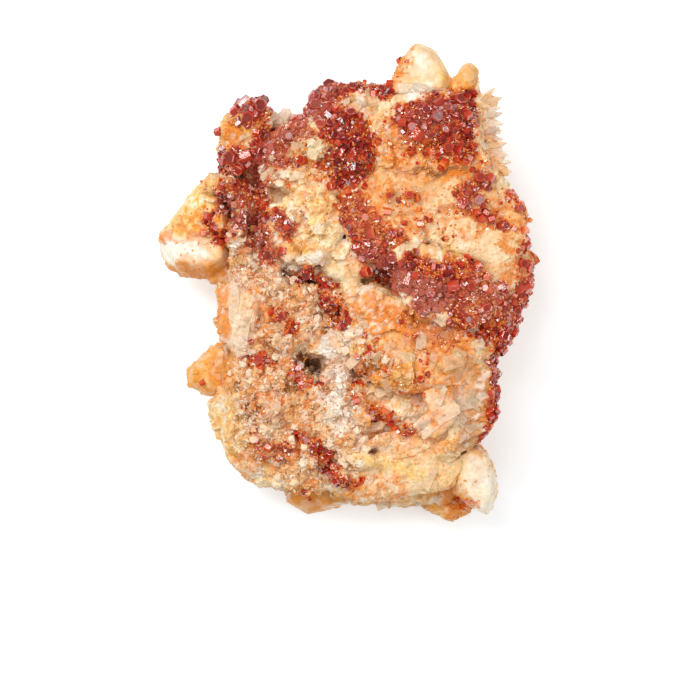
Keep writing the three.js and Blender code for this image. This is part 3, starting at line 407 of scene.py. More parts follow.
# Breaks a surface into flat facets that each lean their own way
def facets(places, size, seed):
    shift = Vector((seed * 2.3, seed * 4.7, seed * 8.9))
    heights = []
    for p in places:
        spot = Vector(p) / size + shift
        middle = noise.voronoi(spot)[1][0]
        lean = noise.cell_vector(middle * 7.3) * 2 - Vector((1, 1, 1))
        heights.append((spot - middle).dot(lean) + 0.3 * lean.x)
    return np.array(heights)


def meshArrays(mesh):
    places = np.empty(len(mesh.vertices) * 3, np.float32)
    mesh.vertices.foreach_get("co", places)
    normals = np.empty(len(mesh.vertices) * 3, np.float32)
    mesh.vertex_normals.foreach_get("vector", normals)
    return places.reshape(-1, 3).astype(float) / mm, normals.reshape(-1, 3).astype(float)


def setPlaces(mesh, places):
    mesh.vertices.foreach_set("co", (places * mm).astype(np.float32).ravel())
    mesh.update()


def storeFloat(mesh, name, values):
    attribute = mesh.attributes.new(name, "FLOAT", "POINT")
    attribute.data.foreach_set("value", values.astype(np.float32))


def storeColour(mesh, name, colours):
    attribute = mesh.attributes.new(name, "FLOAT_COLOR", "POINT")
    whole = np.ones((len(colours), 4), np.float32)
    whole[:, :3] = colours
    attribute.data.foreach_set("color", whole.ravel())


def valueOf(mesh, name):
    values = np.empty(len(mesh.vertices), np.float32)
    mesh.attributes[name].data.foreach_get("value", values)
    return values.astype(float)


def colourOf(mesh, name):
    values = np.empty(len(mesh.vertices) * 4, np.float32)
    mesh.attributes[name].data.foreach_get("color", values)
    return values.reshape(-1, 4)[:, :3]


# Each value becomes the mean of its neighbours' along the edges, so many times over
def neighbourMean(mesh, values, rounds):
    ends = np.empty(len(mesh.edges) * 2, np.int64)
    mesh.edges.foreach_get("vertices", ends)
    a, b = ends[0::2], ends[1::2]
    count = np.bincount(a, minlength=len(values)) + np.bincount(b, minlength=len(values))
    for _ in range(rounds):
        total = np.zeros_like(values)
        for axis in range(values.shape[1]):
            total[:, axis] = (np.bincount(a, values[b, axis], len(values))
                              + np.bincount(b, values[a, axis], len(values)))
        values = total / np.maximum(count, 1)[:, None]
    return values


def evaluated(piece):
    return bpy.data.meshes.new_from_object(piece.evaluated_get(bpy.context.evaluated_depsgraph_get()))


def voxelled(mesh, voxel, name):
    piece = addObject(name, mesh)
    modifier = piece.modifiers.new("voxels", "REMESH")
    modifier.mode = "VOXEL"
    modifier.voxel_size = voxel * mm
    shaped = evaluated(piece)
    bpy.data.objects.remove(piece)
    return shaped


# A node's solid as a fine even mesh, with the hollows and lumps carved in it
def remeshed(node, voxel, name):
    mesh = bpy.data.meshes.new(name)
    build = bmesh.new()
    build.from_mesh(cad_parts[node].data)
    bmesh.ops.remove_doubles(build, verts=build.verts, dist=1e-6)
    build.to_mesh(mesh)
    build.free()
    rough = voxelled(mesh, voxel, name)
    places, normals = meshArrays(rough)
    spots = strayed(places, 2, 0.6, 14)[:, :2]
    for depth, chain in carving:
        near = nearness(spots, chain)
        places[:, 2] -= depth * (1 - eased(near, 0.4, 1.3)) * eased(normals[:, 2], 0, 0.5)
    setPlaces(rough, places)
    return addObject(name, voxelled(rough, voxel, name))


# How far apart the forms of the relief are
reliefSizes = {"swell": 5.5, "facet": 4.6, "chip": 2.1, "wall": 3.4, "crumb": 2.6, "grit": 1.2}


# Rounds the edges a little, then breaks the surface up by how crumbly it is
def weather(piece, roughness):
    mesh = piece.data
    places, normals = meshArrays(mesh)
    places = neighbourMean(mesh, places, roughness["rounding"])
    crumbly = groundMask(strayed(places, 4, 1.6, 1)[:, :2], crumblyGround)
    walls = 1 - eased(normals[:, 2], -0.1, 0.45)
    smooth = groundMask(strayed(places, 4, 1.2, 2)[:, :2], smoothGround) * (1 - 0.8 * walls)
    rest = 1 - smooth * 0.85
    bent = strayed(places, 3, 0.5, 4)
    lumps = grains(places, reliefSizes["crumb"], 3) - 0.25 + 0.7 * noiseAt(places, 4, 9)
    lift = roughness["swell"] * noiseAt(places, reliefSizes["swell"], 1) * (0.4 + 0.6 * rest)
    lift += roughness["facet"] * facets(bent, reliefSizes["facet"], 3) * (0.35 + 0.65 * rest)
    lift += roughness["facet"] * 0.5 * facets(bent, reliefSizes["chip"], 5) * rest
    lift += roughness["facet"] * 0.7 * walls * facets(bent * [1, 1, 1.9], reliefSizes["wall"], 7)
    lift += roughness["grain"] * crumbly * lumps
    lift += roughness["grain"] * 0.5 * (0.2 + crumbly) * rest * (grains(places, reliefSizes["grit"], 4) - 0.2)
    lift = lift * eased(places[:, 2], 0.2, 3) + 0.2
    places = places + normals * lift[:, None]
    places[:, 2] = np.maximum(places[:, 2], 0)
    setPlaces(mesh, places)
    return crumbly, smooth


# Lays a colour over others: how much of it comes from a mask, broken up by noise
def laid(colours, name, mask, breakUp, chance):
    share = mask * (1 - chance + chance * breakUp)
    return colours + (palette[name] - colours) * np.clip(share, 0, 1)[:, None]


# Painted shade: how much the colour darkens in the deepest hollows of the rock and barite
hollowShade = np.array([0.42, 0.60, 0.72])  # how much red, green and blue the deepest hollows lose


def paint(piece, crumbly, smooth):
    mesh = piece.data
    places, normals = meshArrays(mesh)
    rough = strayed(strayed(places, 3.2, 1.5, 5), 1.0, 0.7, 6)
    spots = rough[:, :2]
    wide = noiseAt(places, 6, 15)
    middling = noiseAt(strayed(places, 2.2, 1.0, 16), 2.4, 17)
    small = noiseAt(places, 1.1, 18)
    patches = noiseAt(strayed(places, 3, 1.2, 21), 3.4, 22)
    facing = eased(normals[:, 2], -0.6, 0.0) * eased(places[:, 2], 1, 5)
    mottle = 1 - 0.75 * smooth
    # Walls facing sideways and down, where the rock's own ochre and amber get painted shade
    shadedWalls = 1 - eased(normals[:, 2], -0.1, 0.3)

    colours = np.tile(palette["cream"], (len(places), 1))
    colours = laid(colours, "peach", eased(wide + 0.5 * middling, -0.1, 0.35), small, 0.0)
    for name, strength, softness, chains in rockPaint:
        mask = strength * paintMask(spots, chains, softness) * (0.2 + 0.8 * facing)
        colours = laid(colours, name, mask, eased(middling + small, -0.4, 0.2), 0.45)
    colours = laid(colours, "white", 0.65 * mottle * eased(middling - 0.6 * small, 0.12, 0.42), small, 0.0)
    colours = laid(colours, "orange", 0.6 * crumbly * eased(patches + 0.5 * small, 0.12, 0.4), small, 0.0)
    colours = laid(colours, "ochre", 0.5 * mottle * eased(-middling + 0.8 * small, 0.2, 0.5), small, 0.0)
    # Ochre and amber on the walls facing sideways and down: the rock's own colour there, and painted shade
    colours = laid(colours, "ochre", 0.75 * shadedWalls, eased(wide, -0.3, 0.3), 0.5)
    colours = laid(colours, "amber", 0.45 * shadedWalls, eased(middling, 0.0, 0.3), 1.0)

    bent = strayed(strayed(places, 2.6, 1.4, 8), 0.9, 0.8, 9)[:, :2]
    reds = groundMask(bent, redGround, 0.9) * (0.72 + 0.28 * eased(middling + 0.6 * small, -0.35, 0.0))
    reds *= 1 - 0.95 * paintMask(bent, bareGround, 0.8)
    reds *= facing * (1 - 0.5 * eased(-normals[:, 2], -0.2, 0.4))
    dusty = groundMask(spots, dustGround, 0.9) * facing
    stain = eased(np.maximum(reds * 2.2, dusty), 0.05, 0.8)
    colours = laid(colours, "orange", 0.85 * stain, eased(small + middling, -0.1, 0.3), 0.85)
    colours = laid(colours, "rust", eased(reds, 0.25, 0.7), eased(small, -0.3, 0.1), 0.4)
    colours = laid(colours, "blood", eased(reds, 0.5, 0.9), eased(middling - small, -0.2, 0.25), 0.6)
    # Painted shade in the hollows and crevices, kept faint under the red crust
    for name, strength, softness, chains in pitShadePaint:
        mask = strength * paintMask(spots, chains, softness) * facing * (1 - 0.8 * eased(reds, 0.3, 0.6))
        colours = laid(colours, name, mask, small, 0.0)

    # Painted shade: the deeper a spot lies below the mean of its neighbours, the darker its colour, the more
    # so where the rock is crumbly
    hollow = np.einsum("ij,ij->i", neighbourMean(mesh, places, 8) - places, normals)
    shade = eased(hollow, 0.03, 0.4)
    colours *= 1 - hollowShade * (shade * (0.45 + 0.55 * crumbly))[:, None]
    colours *= (1 + 0.12 * noiseAt(places, 1.4, 12))[:, None]
    storeColour(mesh, "tint", np.clip(colours, 0.004, 1))
    storeFloat(mesh, "crumbly", crumbly)
    storeFloat(mesh, "red", reds)
    storeFloat(mesh, "dusty", np.maximum(dusty, 0.7 * eased(reds, 0.02, 0.3)))


# Each input of a node takes a value, or is linked to the output given for it
def fill(tree, node, inputs):
    for socket, given in inputs.items():
        if isinstance(given, bpy.types.NodeSocket):
            tree.links.new(given, node.inputs[socket])
        else:
            node.inputs[socket].default_value = given


def addNode(tree, kind, inputs, **settings):
    node = tree.nodes.new(kind)
    for key, value in settings.items():
        setattr(node, key, value)
    fill(tree, node, inputs)
    return node


def maths(tree, operation, *inputs, clamp=False):
    node = addNode(tree, "ShaderNodeMath", dict(enumerate(inputs)), operation=operation, use_clamp=clamp)
    return node.outputs[0]


def attributeOf(tree, name, output="Fac"):
    return addNode(tree, "ShaderNodeAttribute", {}, attribute_name=name).outputs[output]


def objectPlace(tree):
    return addNode(tree, "ShaderNodeTexCoord", {}).outputs["Object"]


def mixOf(tree, share, under, over):
    return addNode(tree, "ShaderNodeMix", {"Factor": share, 6: under, 7: over}, data_type="RGBA").outputs[2]


# A colour ramp, from a place and a colour for each stop
def rampOf(tree, value, stops):
    node = addNode(tree, "ShaderNodeValToRGB", {"Fac": value})
    elements = node.color_ramp.elements
    elements.remove(elements[1])
    for at, colour in stops:
        element = elements.new(at) if at else elements[0]
        element.color = (*colour, 1)
    return node.outputs["Color"]


def bumpOf(tree, height, finish):
    bump = addNode(tree, "ShaderNodeBump", {
        "Height": height, "Strength": finish["bump"], "Distance": finish["bumpDepth"] * mm})
    return bump.outputs["Normal"]


# Light that scatters under a surface: how much of it, and how far its red, green and blue go
def glowOf(finish):
    return {"Subsurface Weight": finish["glow"], "Subsurface Scale": 1.0,
            "Subsurface Radius": [reach * mm for reach in finish["reach"]]}


def newMaterial(name):
    material = bpy.data.materials.new(name)
    material.use_nodes = True
    return material, material.node_tree, material.node_tree.nodes["Principled BSDF"]


def makeFloor():
    material, tree, shader = newMaterial("floorWhite")
    fill(tree, shader, {
        "Base Color": (0.88, 0.92, 0.94, 1), "Roughness": 0.9,
        "Emission Color": (0.94, 0.99, 1, 1), "Emission Strength": lightSettings["floorGlow"]})
    bpy.ops.mesh.primitive_plane_add(size=6)
    floor = bpy.context.object
    floor.name = "floor"
    floor.data.materials.append(material)


orangeSpeck = (*screen(0.80, 0.34, 0.12), 1)
darkSpeck = (*screen(0.34, 0.17, 0.10), 1)


# Grain, dark specks and orange specks that every stone here shares, over a painted tint
def mineralGrainGroup():
    group = bpy.data.node_groups.new("mineralGrain", "ShaderNodeTree")
    face = group.interface
    face.new_socket("Tint", in_out="INPUT", socket_type="NodeSocketColor")
    face.new_socket("Place", in_out="INPUT", socket_type="NodeSocketVector")
    for label in ("Crumbly", "Red", "Grain Scale", "Contrast"):
        face.new_socket(label, in_out="INPUT", socket_type="NodeSocketFloat")
    face.new_socket("Colour", in_out="OUTPUT", socket_type="NodeSocketColor")
    face.new_socket("Height", in_out="OUTPUT", socket_type="NodeSocketFloat")
    given = addNode(group, "NodeGroupInput", {}).outputs

    def blotches(scale, detail, low, high):
        cloud = addNode(group, "ShaderNodeTexNoise", {
            "Vector": given["Place"], "Scale": maths(group, "MULTIPLY", given["Grain Scale"], scale),
            "Detail": detail, "Roughness": 0.62}).outputs["Fac"]
        cut = addNode(group, "ShaderNodeMapRange", {"Value": cloud, "From Min": low, "From Max": high})
        return cloud, cut.outputs[0]

    cloud, grain = blotches(1.0, 5, 0.3, 0.7)
    centred = maths(group, "MULTIPLY_ADD", grain, 2, -1)
    swing = maths(group, "MULTIPLY_ADD", centred, given["Contrast"], 1)
    toned = addNode(group, "ShaderNodeVectorMath", {0: given["Tint"], "Scale": swing}, operation="SCALE")
    orangeGround = maths(group, "MULTIPLY_ADD", given["Crumbly"], 0.45, 0.12)
    orangeShare = maths(group, "MAXIMUM", orangeGround, given["Red"])
    orange = maths(group, "MULTIPLY", blotches(0.85, 2, 0.6, 0.68)[1], orangeShare, clamp=True)
    darkShare = maths(group, "MULTIPLY_ADD", given["Crumbly"], 0.75, 0.04)
    dark = maths(group, "MULTIPLY", blotches(0.6, 3, 0.62, 0.7)[1], darkShare, clamp=True)
    speckled = mixOf(group, orange, toned.outputs[0], orangeSpeck)
    addNode(group, "NodeGroupOutput", {"Colour": mixOf(group, dark, speckled, darkSpeck), "Height": cloud})
    return group


# Rock and barite: the painted tint with finer grain over it
def stoneMaterial(name, grainGroup, finish):
    material, tree, shader = newMaterial(name)
    crumbly = attributeOf(tree, "crumbly")
    grain = addNode(tree, "ShaderNodeGroup", {
        "Place": objectPlace(tree), "Tint": attributeOf(tree, "tint", "Color"), "Crumbly": crumbly,
        "Red": attributeOf(tree, "red"), "Grain Scale": 1 / (finish["grainSize"] * mm),
        "Contrast": finish["contrast"]}, node_tree=grainGroup).outputs
    dullness = addNode(tree, "ShaderNodeMapRange", {
        "Value": crumbly, "To Min": finish["gloss"], "To Max": finish["crumblyGloss"]}).outputs["Result"]
    fill(tree, shader, {
        "Base Color": grain["Colour"], "Roughness": dullness, "Normal": bumpOf(tree, grain["Height"], finish),
        "Specular IOR Level": 0.25, **glowOf(finish)})
    return material


# From a crystal's dark hollows to its lit edges
vanadiniteReds = [
    (0.0, screen(0.34, 0.06, 0.05)), (0.2, screen(0.48, 0.07, 0.04)), (0.4, screen(0.66, 0.10, 0.04)),
    (0.6, screen(0.82, 0.24, 0.08)), (0.8, screen(0.92, 0.45, 0.15)), (1.0, screen(0.95, 0.62, 0.28)),
]
# Painted sheen: pink laid over the crystals' red, partly a dusty coating on them and partly the mauve
# reflection of the lamps above
sheenVeilPink = (*screen(0.76, 0.42, 0.34), 1)


# Vanadinite: glassy faces whose red runs from maroon to orange with each crystal's tone
def vanadiniteMaterial(name, finish):
    material, tree, shader = newMaterial(name)
    place = objectPlace(tree)

    def clouds(size, detail):
        return addNode(tree, "ShaderNodeTexNoise", {
            "Vector": place, "Scale": 1 / (size * mm), "Detail": detail}).outputs["Fac"]

    own = maths(tree, "ADD", attributeOf(tree, "tone"), attributeOf(tree, "hue"))
    # Painted light and shade: each corner's painted light lightens the crystal's red towards its top and
    # darkens it towards its base
    litTone = maths(tree, "ADD", own, maths(tree, "MULTIPLY_ADD", attributeOf(tree, "paintedLight"), 0.95, -0.58))
    clouded = maths(tree, "MULTIPLY_ADD", clouds(0.9, 3), 0.5, litTone)
    red = rampOf(tree, maths(tree, "MULTIPLY_ADD", clouded, 0.5, 0.1), vanadiniteReds)
    # The painted pink sheen is mixed over the crystals' red here
    fill(tree, shader, {
        "Base Color": mixOf(tree, attributeOf(tree, "sheenVeil"), red, sheenVeilPink),
        "Normal": bumpOf(tree, clouds(0.45, 1), finish),
        "Roughness": finish["roughness"], "IOR": finish["ior"], **glowOf(finish)})
    return material


# Tones of the grains: place on the scale, colour, and how much of it shows over the ground's
granuleTones = [
    (0.0, (0.50, 0.26, 0.16), 0.7), (0.1, (0.66, 0.30, 0.15), 0.7), (0.22, (0.90, 0.53, 0.25), 0.75),
    (0.4, (0.92, 0.68, 0.44), 0.4), (0.6, (0.94, 0.78, 0.58), 0.15), (0.8, (0.98, 0.89, 0.75), 0.5),
    (1.0, (0.99, 0.94, 0.86), 0.85),
]


# Loose grains: the tint of the ground they lie on, some of them rusty, brown or pale
def granuleMaterial(name, grainGroup, finish):
    material, tree, shader = newMaterial(name)
    tone = attributeOf(tree, "tone")
    own = rampOf(tree, tone, [(at, screen(*colour)) for at, colour, _ in granuleTones])
    share = rampOf(tree, tone, [(at, (amount,) * 3) for at, _, amount in granuleTones])
    grain = addNode(tree, "ShaderNodeGroup", {
        "Place": objectPlace(tree), "Tint": mixOf(tree, share, attributeOf(tree, "tint", "Color"), own),
        "Crumbly": 0.3, "Grain Scale": 1 / (0.6 * mm), "Contrast": 0.16}, node_tree=grainGroup).outputs
    fill(tree, shader, {
        "Base Color": grain["Colour"], "Roughness": finish["roughness"], "Alpha": finish["cover"],
        "Normal": bumpOf(tree, grain["Height"], finish), **glowOf(finish)})
    return material


makeFloor()
grainGroup = mineralGrainGroup()
stoneGlow = {"crumblyGloss": 0.85, "bumpDepth": 0.4, "reach": (1.1, 0.75, 0.42)}
granuleGlow = {"bumpDepth": 0.2, "reach": (0.8, 0.4, 0.2)}
crystalGlow = {"bump": 0.4, "bumpDepth": 0.12, "reach": (1.2, 0.2, 0.06)}
stone = stoneMaterial("crumblyRock", grainGroup, {
    "grainSize": 0.6, "contrast": 0.24, "gloss": 0.42, "bump": 0.8, "glow": 0.15, **stoneGlow})
barite = stoneMaterial("waxyBarite", grainGroup, {
    "grainSize": 0.9, "contrast": 0.12, "gloss": 0.32, "bump": 0.5, "glow": 0.3, **stoneGlow})
granuleStone = granuleMaterial("looseGrains", grainGroup, {
    "roughness": 0.75, "glow": 0.15, "bump": 0.5, "cover": 1, **granuleGlow})
flakeBarite = granuleMaterial("clearBarite", grainGroup, {
    "roughness": 0.3, "glow": 0.4, "bump": 0.3, "cover": 0.6, **granuleGlow})
red = vanadiniteMaterial("vanadiniteRed", {"roughness": 0.1, "ior": 2.05, "glow": 0.35, **crystalGlow})
orange = vanadiniteMaterial("vanadiniteOrange", {"roughness": 0.4, "ior": 1.45, "glow": 0.2, **crystalGlow})


def dress(piece, material):
    piece.data.materials.clear()
    piece.data.materials.append(material)


rockFinish = {"voxel": 0.5, "rounding": 2, "swell": 0.8, "facet": 0.95, "grain": 1.1}
bladeFinish = {"voxel": 0.32, "rounding": 2, "swell": 0.3, "facet": 0.45, "grain": 0.3}
rock = remeshed("matrix", rockFinish["voxel"], "rock")
paint(rock, *weather(rock, rockFinish))
dress(rock, stone)
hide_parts("matrix")
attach(rock, "root")
print("rock shaped", len(rock.data.polygons))

grounds = [rock]
for node in sorted(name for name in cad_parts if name.startswith("barite")):
    piece = remeshed(node, bladeFinish["voxel"], node.replace("barite_", "barite_crystal_"))
    paint(piece, *weather(piece, bladeFinish))
    dress(piece, barite)
    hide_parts(node)
    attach(piece, "root")
    grounds.append(piece)
print("barite shaped")


def formOf(build, name):
    mesh = bpy.data.meshes.new(name)
    build.to_mesh(mesh)
    build.free()
    return bpy.data.objects.new(name, mesh)


# Crystal forms, one unit wide: plain, flat, hollow-topped, lying on a side, and grains. Painted light on
# every corner says how near it is to a lit edge or the top and lightens the red there; towards the base and
# in a hollow top it leaves painted shade
def crystalForm(name, height, bevel, hollow, lying=False):
    build = bmesh.new()
    paintedLight = build.verts.layers.float.new("paintedLight")
    bmesh.ops.create_cone(build, cap_ends=True, segments=6, radius1=0.5, radius2=0.5, depth=height)
    top = max(build.faces, key=lambda face: face.calc_center_median().z)
    if bevel:
        bmesh.ops.bevel(build, geom=list(top.edges), offset=bevel, segments=1, affect="EDGES")
    for corner in build.verts:
        corner[paintedLight] = 0.1 + 0.9 * (corner.co.z / height + 0.5)
    if hollow is not None:
        top = max(build.faces, key=lambda face: (round(face.calc_center_median().z, 4), face.calc_area()))
        bmesh.ops.inset_region(build, faces=[top], thickness=0.1, depth=0)
        # Painted shade in the hollow top
        for corner in top.verts:
            corner[paintedLight] = 0.35
            corner.co.z -= hollow
    if lying:
        for degrees, axis in ((90, "Y"), (30, "X")):
            turn = Matrix.Rotation(math.radians(degrees), 3, axis)
            bmesh.ops.rotate(build, verts=build.verts, matrix=turn)
        for corner in build.verts:
            corner[paintedLight] = 0.5 + corner.co.z
    else:
        bottom = min(build.faces, key=lambda face: face.calc_center_median().z)
        bmesh.ops.delete(build, geom=[bottom], context="FACES_ONLY")
    bmesh.ops.translate(build, verts=build.verts, vec=(0, 0, height * 0.1))
    return formOf(build, name)


# A thin barite plate, one unit long, with a bevelled rim: three rings, each with its size and height.
# A fine one has the finer mesh that it takes to break it up
def plateForm(name, rim, rings, tilt, fine):
    build = bmesh.new()
    corners = [[build.verts.new((x * size, y * size, z + tilt * x)) for x, y in rim] for size, z in rings]
    for low, high in zip(corners, corners[1:]):
        for k in range(len(rim)):
            after = (k + 1) % len(rim)
            build.faces.new((low[k], low[after], high[after], high[k]))
    caps = [build.faces.new(corners[-1]), build.faces.new(corners[0][::-1])]
    if fine:
        bmesh.ops.poke(build, faces=caps)
        bmesh.ops.subdivide_edges(build, edges=build.edges, cuts=2, use_grid_fill=True)
    return formOf(build, name)


# Irregular grains, one unit wide
def grainForm(name, subdivisions, seed, flatness):
    build = bmesh.new()
    bmesh.ops.create_icosphere(build, subdivisions=subdivisions, radius=0.5)
    for corner in build.verts:
        shift = noise.noise_vector(corner.co * 3.1 + Vector((seed, seed * 3, 0)))
        corner.co = (corner.co + 0.42 * shift) * Vector((1.1, 0.8, flatness))
    return formOf(build, name)


plateRim = [(-0.5, -0.2), (0.36, -0.3), (0.5, -0.06), (0.4, 0.26), (-0.34, 0.3), (-0.48, 0.08)]
finRim = [(-0.5, -0.24), (0.1, -0.3), (0.34, -0.12), (0.5, 0.04), (0.2, 0.16), (-0.5, 0.28)]
flakeRings = ((0.94, -0.1), (1, 0.0), (0.93, 0.05))
plateRings = ((0.95, -0.1), (1, 0), (0.94, 0.05))
forms = {
    "plain": crystalForm("crystalPlain", 0.9, 0.05, 0),
    "flat": crystalForm("crystalFlat", 0.6, 0.06, 0),
    "hollow": crystalForm("crystalHollow", 0.8, 0.04, 0.09),
    "lying": crystalForm("crystalLying", 0.85, 0.04, 0.03, lying=True),
    "grain": crystalForm("crystalGrain", 1.0, 0, None),
    "pebble": grainForm("pebble", 2, 3.1, 0.75),
    "crumb": grainForm("crumb", 1, 5.7, 0.55),
    "dust": grainForm("dust", 1, 9.2, 0.6),
    "flake": plateForm("flake", plateRim, flakeRings, tilt=0.04, fine=False),
    "plate": plateForm("plate", plateRim, plateRings, tilt=0, fine=True),
    "fin": plateForm("fin", finRim, plateRings, tilt=0, fine=True),
}


# Geometry Nodes tree that grows crystals over a bed, thickly where the bed's growth is high
def growthTree():
    tree = bpy.data.node_groups.new("crystalGrowth", "GeometryNodeTree")
    face = tree.interface
    face.new_socket("Geometry", in_out="INPUT", socket_type="NodeSocketGeometry")
    face.new_socket("Form", in_out="INPUT", socket_type="NodeSocketObject")
    for label in ("Spacing", "Density", "Smallest", "Largest", "Lean", "Tone Low", "Tone High"):
        face.new_socket(label, in_out="INPUT", socket_type="NodeSocketFloat")
    face.new_socket("Seed", in_out="INPUT", socket_type="NodeSocketInt")
    face.new_socket("Material", in_out="INPUT", socket_type="NodeSocketMaterial")
    face.new_socket("Geometry", in_out="OUTPUT", socket_type="NodeSocketGeometry")
    given = addNode(tree, "NodeGroupInput", {}).outputs

    def between(low, high):
        return addNode(tree, "FunctionNodeRandomValue", {
            2: given[low], 3: given[high], "Seed": given["Seed"]}, data_type="FLOAT").outputs[1]

    def leaning(x, y, z):
        return addNode(tree, "ShaderNodeVectorMath", {0: (x, y, z), "Scale": given["Lean"]},
                       operation="SCALE").outputs[0]

    growth = addNode(tree, "GeometryNodeInputNamedAttribute", {"Name": "growth"}, data_type="FLOAT")
    spread = addNode(tree, "GeometryNodeDistributePointsOnFaces", {
        "Mesh": given["Geometry"], "Distance Min": given["Spacing"], "Density Max": given["Density"],
        "Density Factor": growth.outputs["Attribute"], "Seed": given["Seed"]}, distribute_method="POISSON")
    form = addNode(tree, "GeometryNodeObjectInfo", {"Object": given["Form"]})
    tilt = addNode(tree, "FunctionNodeRandomValue", {0: leaning(-1, -1, -3.2), 1: leaning(1, 1, 3.2)},
                   data_type="FLOAT_VECTOR")
    turn = addNode(tree, "FunctionNodeRotateRotation", {
        "Rotation": spread.outputs["Rotation"], "Rotate By": tilt.outputs[0]}, rotation_space="LOCAL")
    place = addNode(tree, "GeometryNodeInstanceOnPoints", {
        "Points": spread.outputs["Points"], "Instance": form.outputs["Geometry"],
        "Rotation": turn.outputs["Rotation"], "Scale": between("Smallest", "Largest")})
    keep = addNode(tree, "GeometryNodeStoreNamedAttribute", {}, data_type="FLOAT", domain="INSTANCE")
    fill(tree, keep, {"Name": "tone", "Geometry": place.outputs["Instances"],
                      "Value": between("Tone Low", "Tone High")})
    real = addNode(tree, "GeometryNodeRealizeInstances", {"Geometry": keep.outputs["Geometry"]})
    dressed = addNode(tree, "GeometryNodeSetMaterial", {
        "Geometry": real.outputs["Geometry"], "Material": given["Material"]})
    addNode(tree, "NodeGroupOutput", {"Geometry": dressed.outputs["Geometry"]})
    return tree


# How much darker or more orange the crystals are from place to place: amount, chain
hueGround = [
    (-0.2, [(-20, 35, 4)]), (-0.15, [(-24, 25, 3), (-18, 25, 2)]), (-0.25, [(-6, 36, 3), (-3, 39, 3)]),
    (-0.15, [(1, 38.8, 2), (8, 38.6, 2)]), (-0.05, [(-17, 22, 3), (-12, 29, 4), (-8, 32, 3)]),
    (-0.2, [(-3, 33, 2), (1, 25, 4)]), (-0.15, [(12, 32, 3), (18, 34, 4), (23, 33, 3)]),
    (0.2, [(14, 27, 3), (24, 25, 3)]), (0.46, [(1, 16, 3), (7, 9, 3)]), (-0.1, [(5, 6, 3), (9, 1, 4)]),
    (0.15, [(14, 1, 4), (20, -3, 4)]), (0.48, [(28, -5, 5)]), (0.15, [(36, 8, 4)]),
    (0.45, [(15, -9, 3), (20, -13, 3)]), (0.5, [(9, -19, 4)]), (-0.1, [(31, -16, 3), (30, -31, 3)]),
    (-0.2, [(-23, 15, 4), (-16, 6, 3)]), (-0.15, [(-4, -5, 4)]), (-0.05, [(-18, -34, 3), (-4, -36, 4)]),
    (0.15, [(36, 10, 4), (36, 0, 4)]),
]

# Where a pinkish haze dulls the crystals, partly a dusty coating and partly painted sheen standing for the
# mauve reflection of the lamps above: amount, chain
sheenVeilGround = [
    (0.85, [(12, -1, 3), (18, -4, 4)]), (0.55, [(-17, 21, 4), (-12, 29, 4), (-7, 33, 3)]),
    (0.45, [(-6, 36, 3), (-3, 39, 3)]), (0.4, [(-23, 15, 4), (-16, 6, 3)]), (0.45, [(6, 5, 4), (10, 1, 3)]),
    (0.3, [(13, 31, 4), (18, 33, 4)]), (0.5, [(27, -4, 5)]), (0.35, [(1, 15, 3), (6, 9, 3)]),
    (0.35, [(25, 17, 3), (28, 20, 2)]), (0.3, [(36, 4, 3), (35, -6, 3)]), (0.3, [(-16, -34, 4)]),
    (0.4, [(-12, 11, 3)]), (0.3, [(31, -20, 4)]), (0.25, [(-20, 35, 3), (-22, 25, 3)]),
    (0.4, [(18, -11, 4)]),
]


def hueAt(places, reds):
    hue = 0.12 + 0.45 * (1 - eased(reds, 0.15, 0.75))
    for amount, chain in hueGround:
        hue += amount * (1 - eased(nearness(places[:, :2], chain), 0.6, 1.3))
    return hue


def sheenVeilAt(places):
    sheenVeil = np.zeros(len(places))
    for amount, chain in sheenVeilGround:
        sheenVeil = np.maximum(sheenVeil, amount * (1 - eased(nearness(places[:, :2], chain), 0.5, 1.3)))
    return sheenVeil


leastGrowth = 0.01


# One mesh with the parts of the grounds where something grows
def bedFrom(grounds, growthAt, name):
    spots, faces, growths, tints, hues, sheenVeils = [], [], [], [], [], []
    start = 0
    for ground in grounds:
        mesh = ground.data
        places, normals = meshArrays(mesh)
        growth = growthAt(mesh, places, normals)
        keep = growth > leastGrowth
        quads = [polygon for polygon in mesh.polygons if len(polygon.vertices) == 4]
        corners = np.array([tuple(quad.vertices) for quad in quads])
        corners = corners[keep[corners].all(axis=1)]
        used = np.unique(corners)
        if not len(used):
            continue
        fresh = np.zeros(len(places), np.int64)
        fresh[used] = np.arange(len(used)) + start
        spots.append(places[used] * mm)
        faces.append(fresh[corners])
        growths.append(growth[used])
        tints.append(colourOf(mesh, "tint")[used])
        hues.append(hueAt(places[used], valueOf(mesh, "red")[used]))
        sheenVeils.append(sheenVeilAt(places[used]))
        start += len(used)
    mesh = bpy.data.meshes.new(name)
    mesh.from_pydata(np.concatenate(spots).tolist(), [], np.concatenate(faces).tolist())
    storeFloat(mesh, "growth", np.concatenate(growths))
    storeColour(mesh, "tint", np.concatenate(tints))
    storeFloat(mesh, "hue", np.concatenate(hues))
    storeFloat(mesh, "sheenVeil", np.concatenate(sheenVeils))
    return addObject(name, mesh)


def grow(bed, tree, settings, material):
    modifier = bed.modifiers.new("growth", "NODES")
    modifier.node_group = tree
    values = {
        "Form": forms[settings["form"]], "Spacing": settings["spacing"] * mm,
        "Density": settings["density"] / mm ** 2, "Smallest": settings["size"][0] * mm,
        "Largest": settings["size"][1] * mm, "Lean": settings["lean"],
        "Tone Low": settings["tone"][0], "Tone High": settings["tone"][1],
        "Seed": settings["seed"], "Material": material,
    }
    for item in tree.interface.items_tree:
        if item.in_out == "INPUT" and item.name in values:
            modifier[item.identifier] = values[item.name]
    bed.update_tag()
    grown = evaluated(bed)
    bed.modifiers.clear()
    return grown


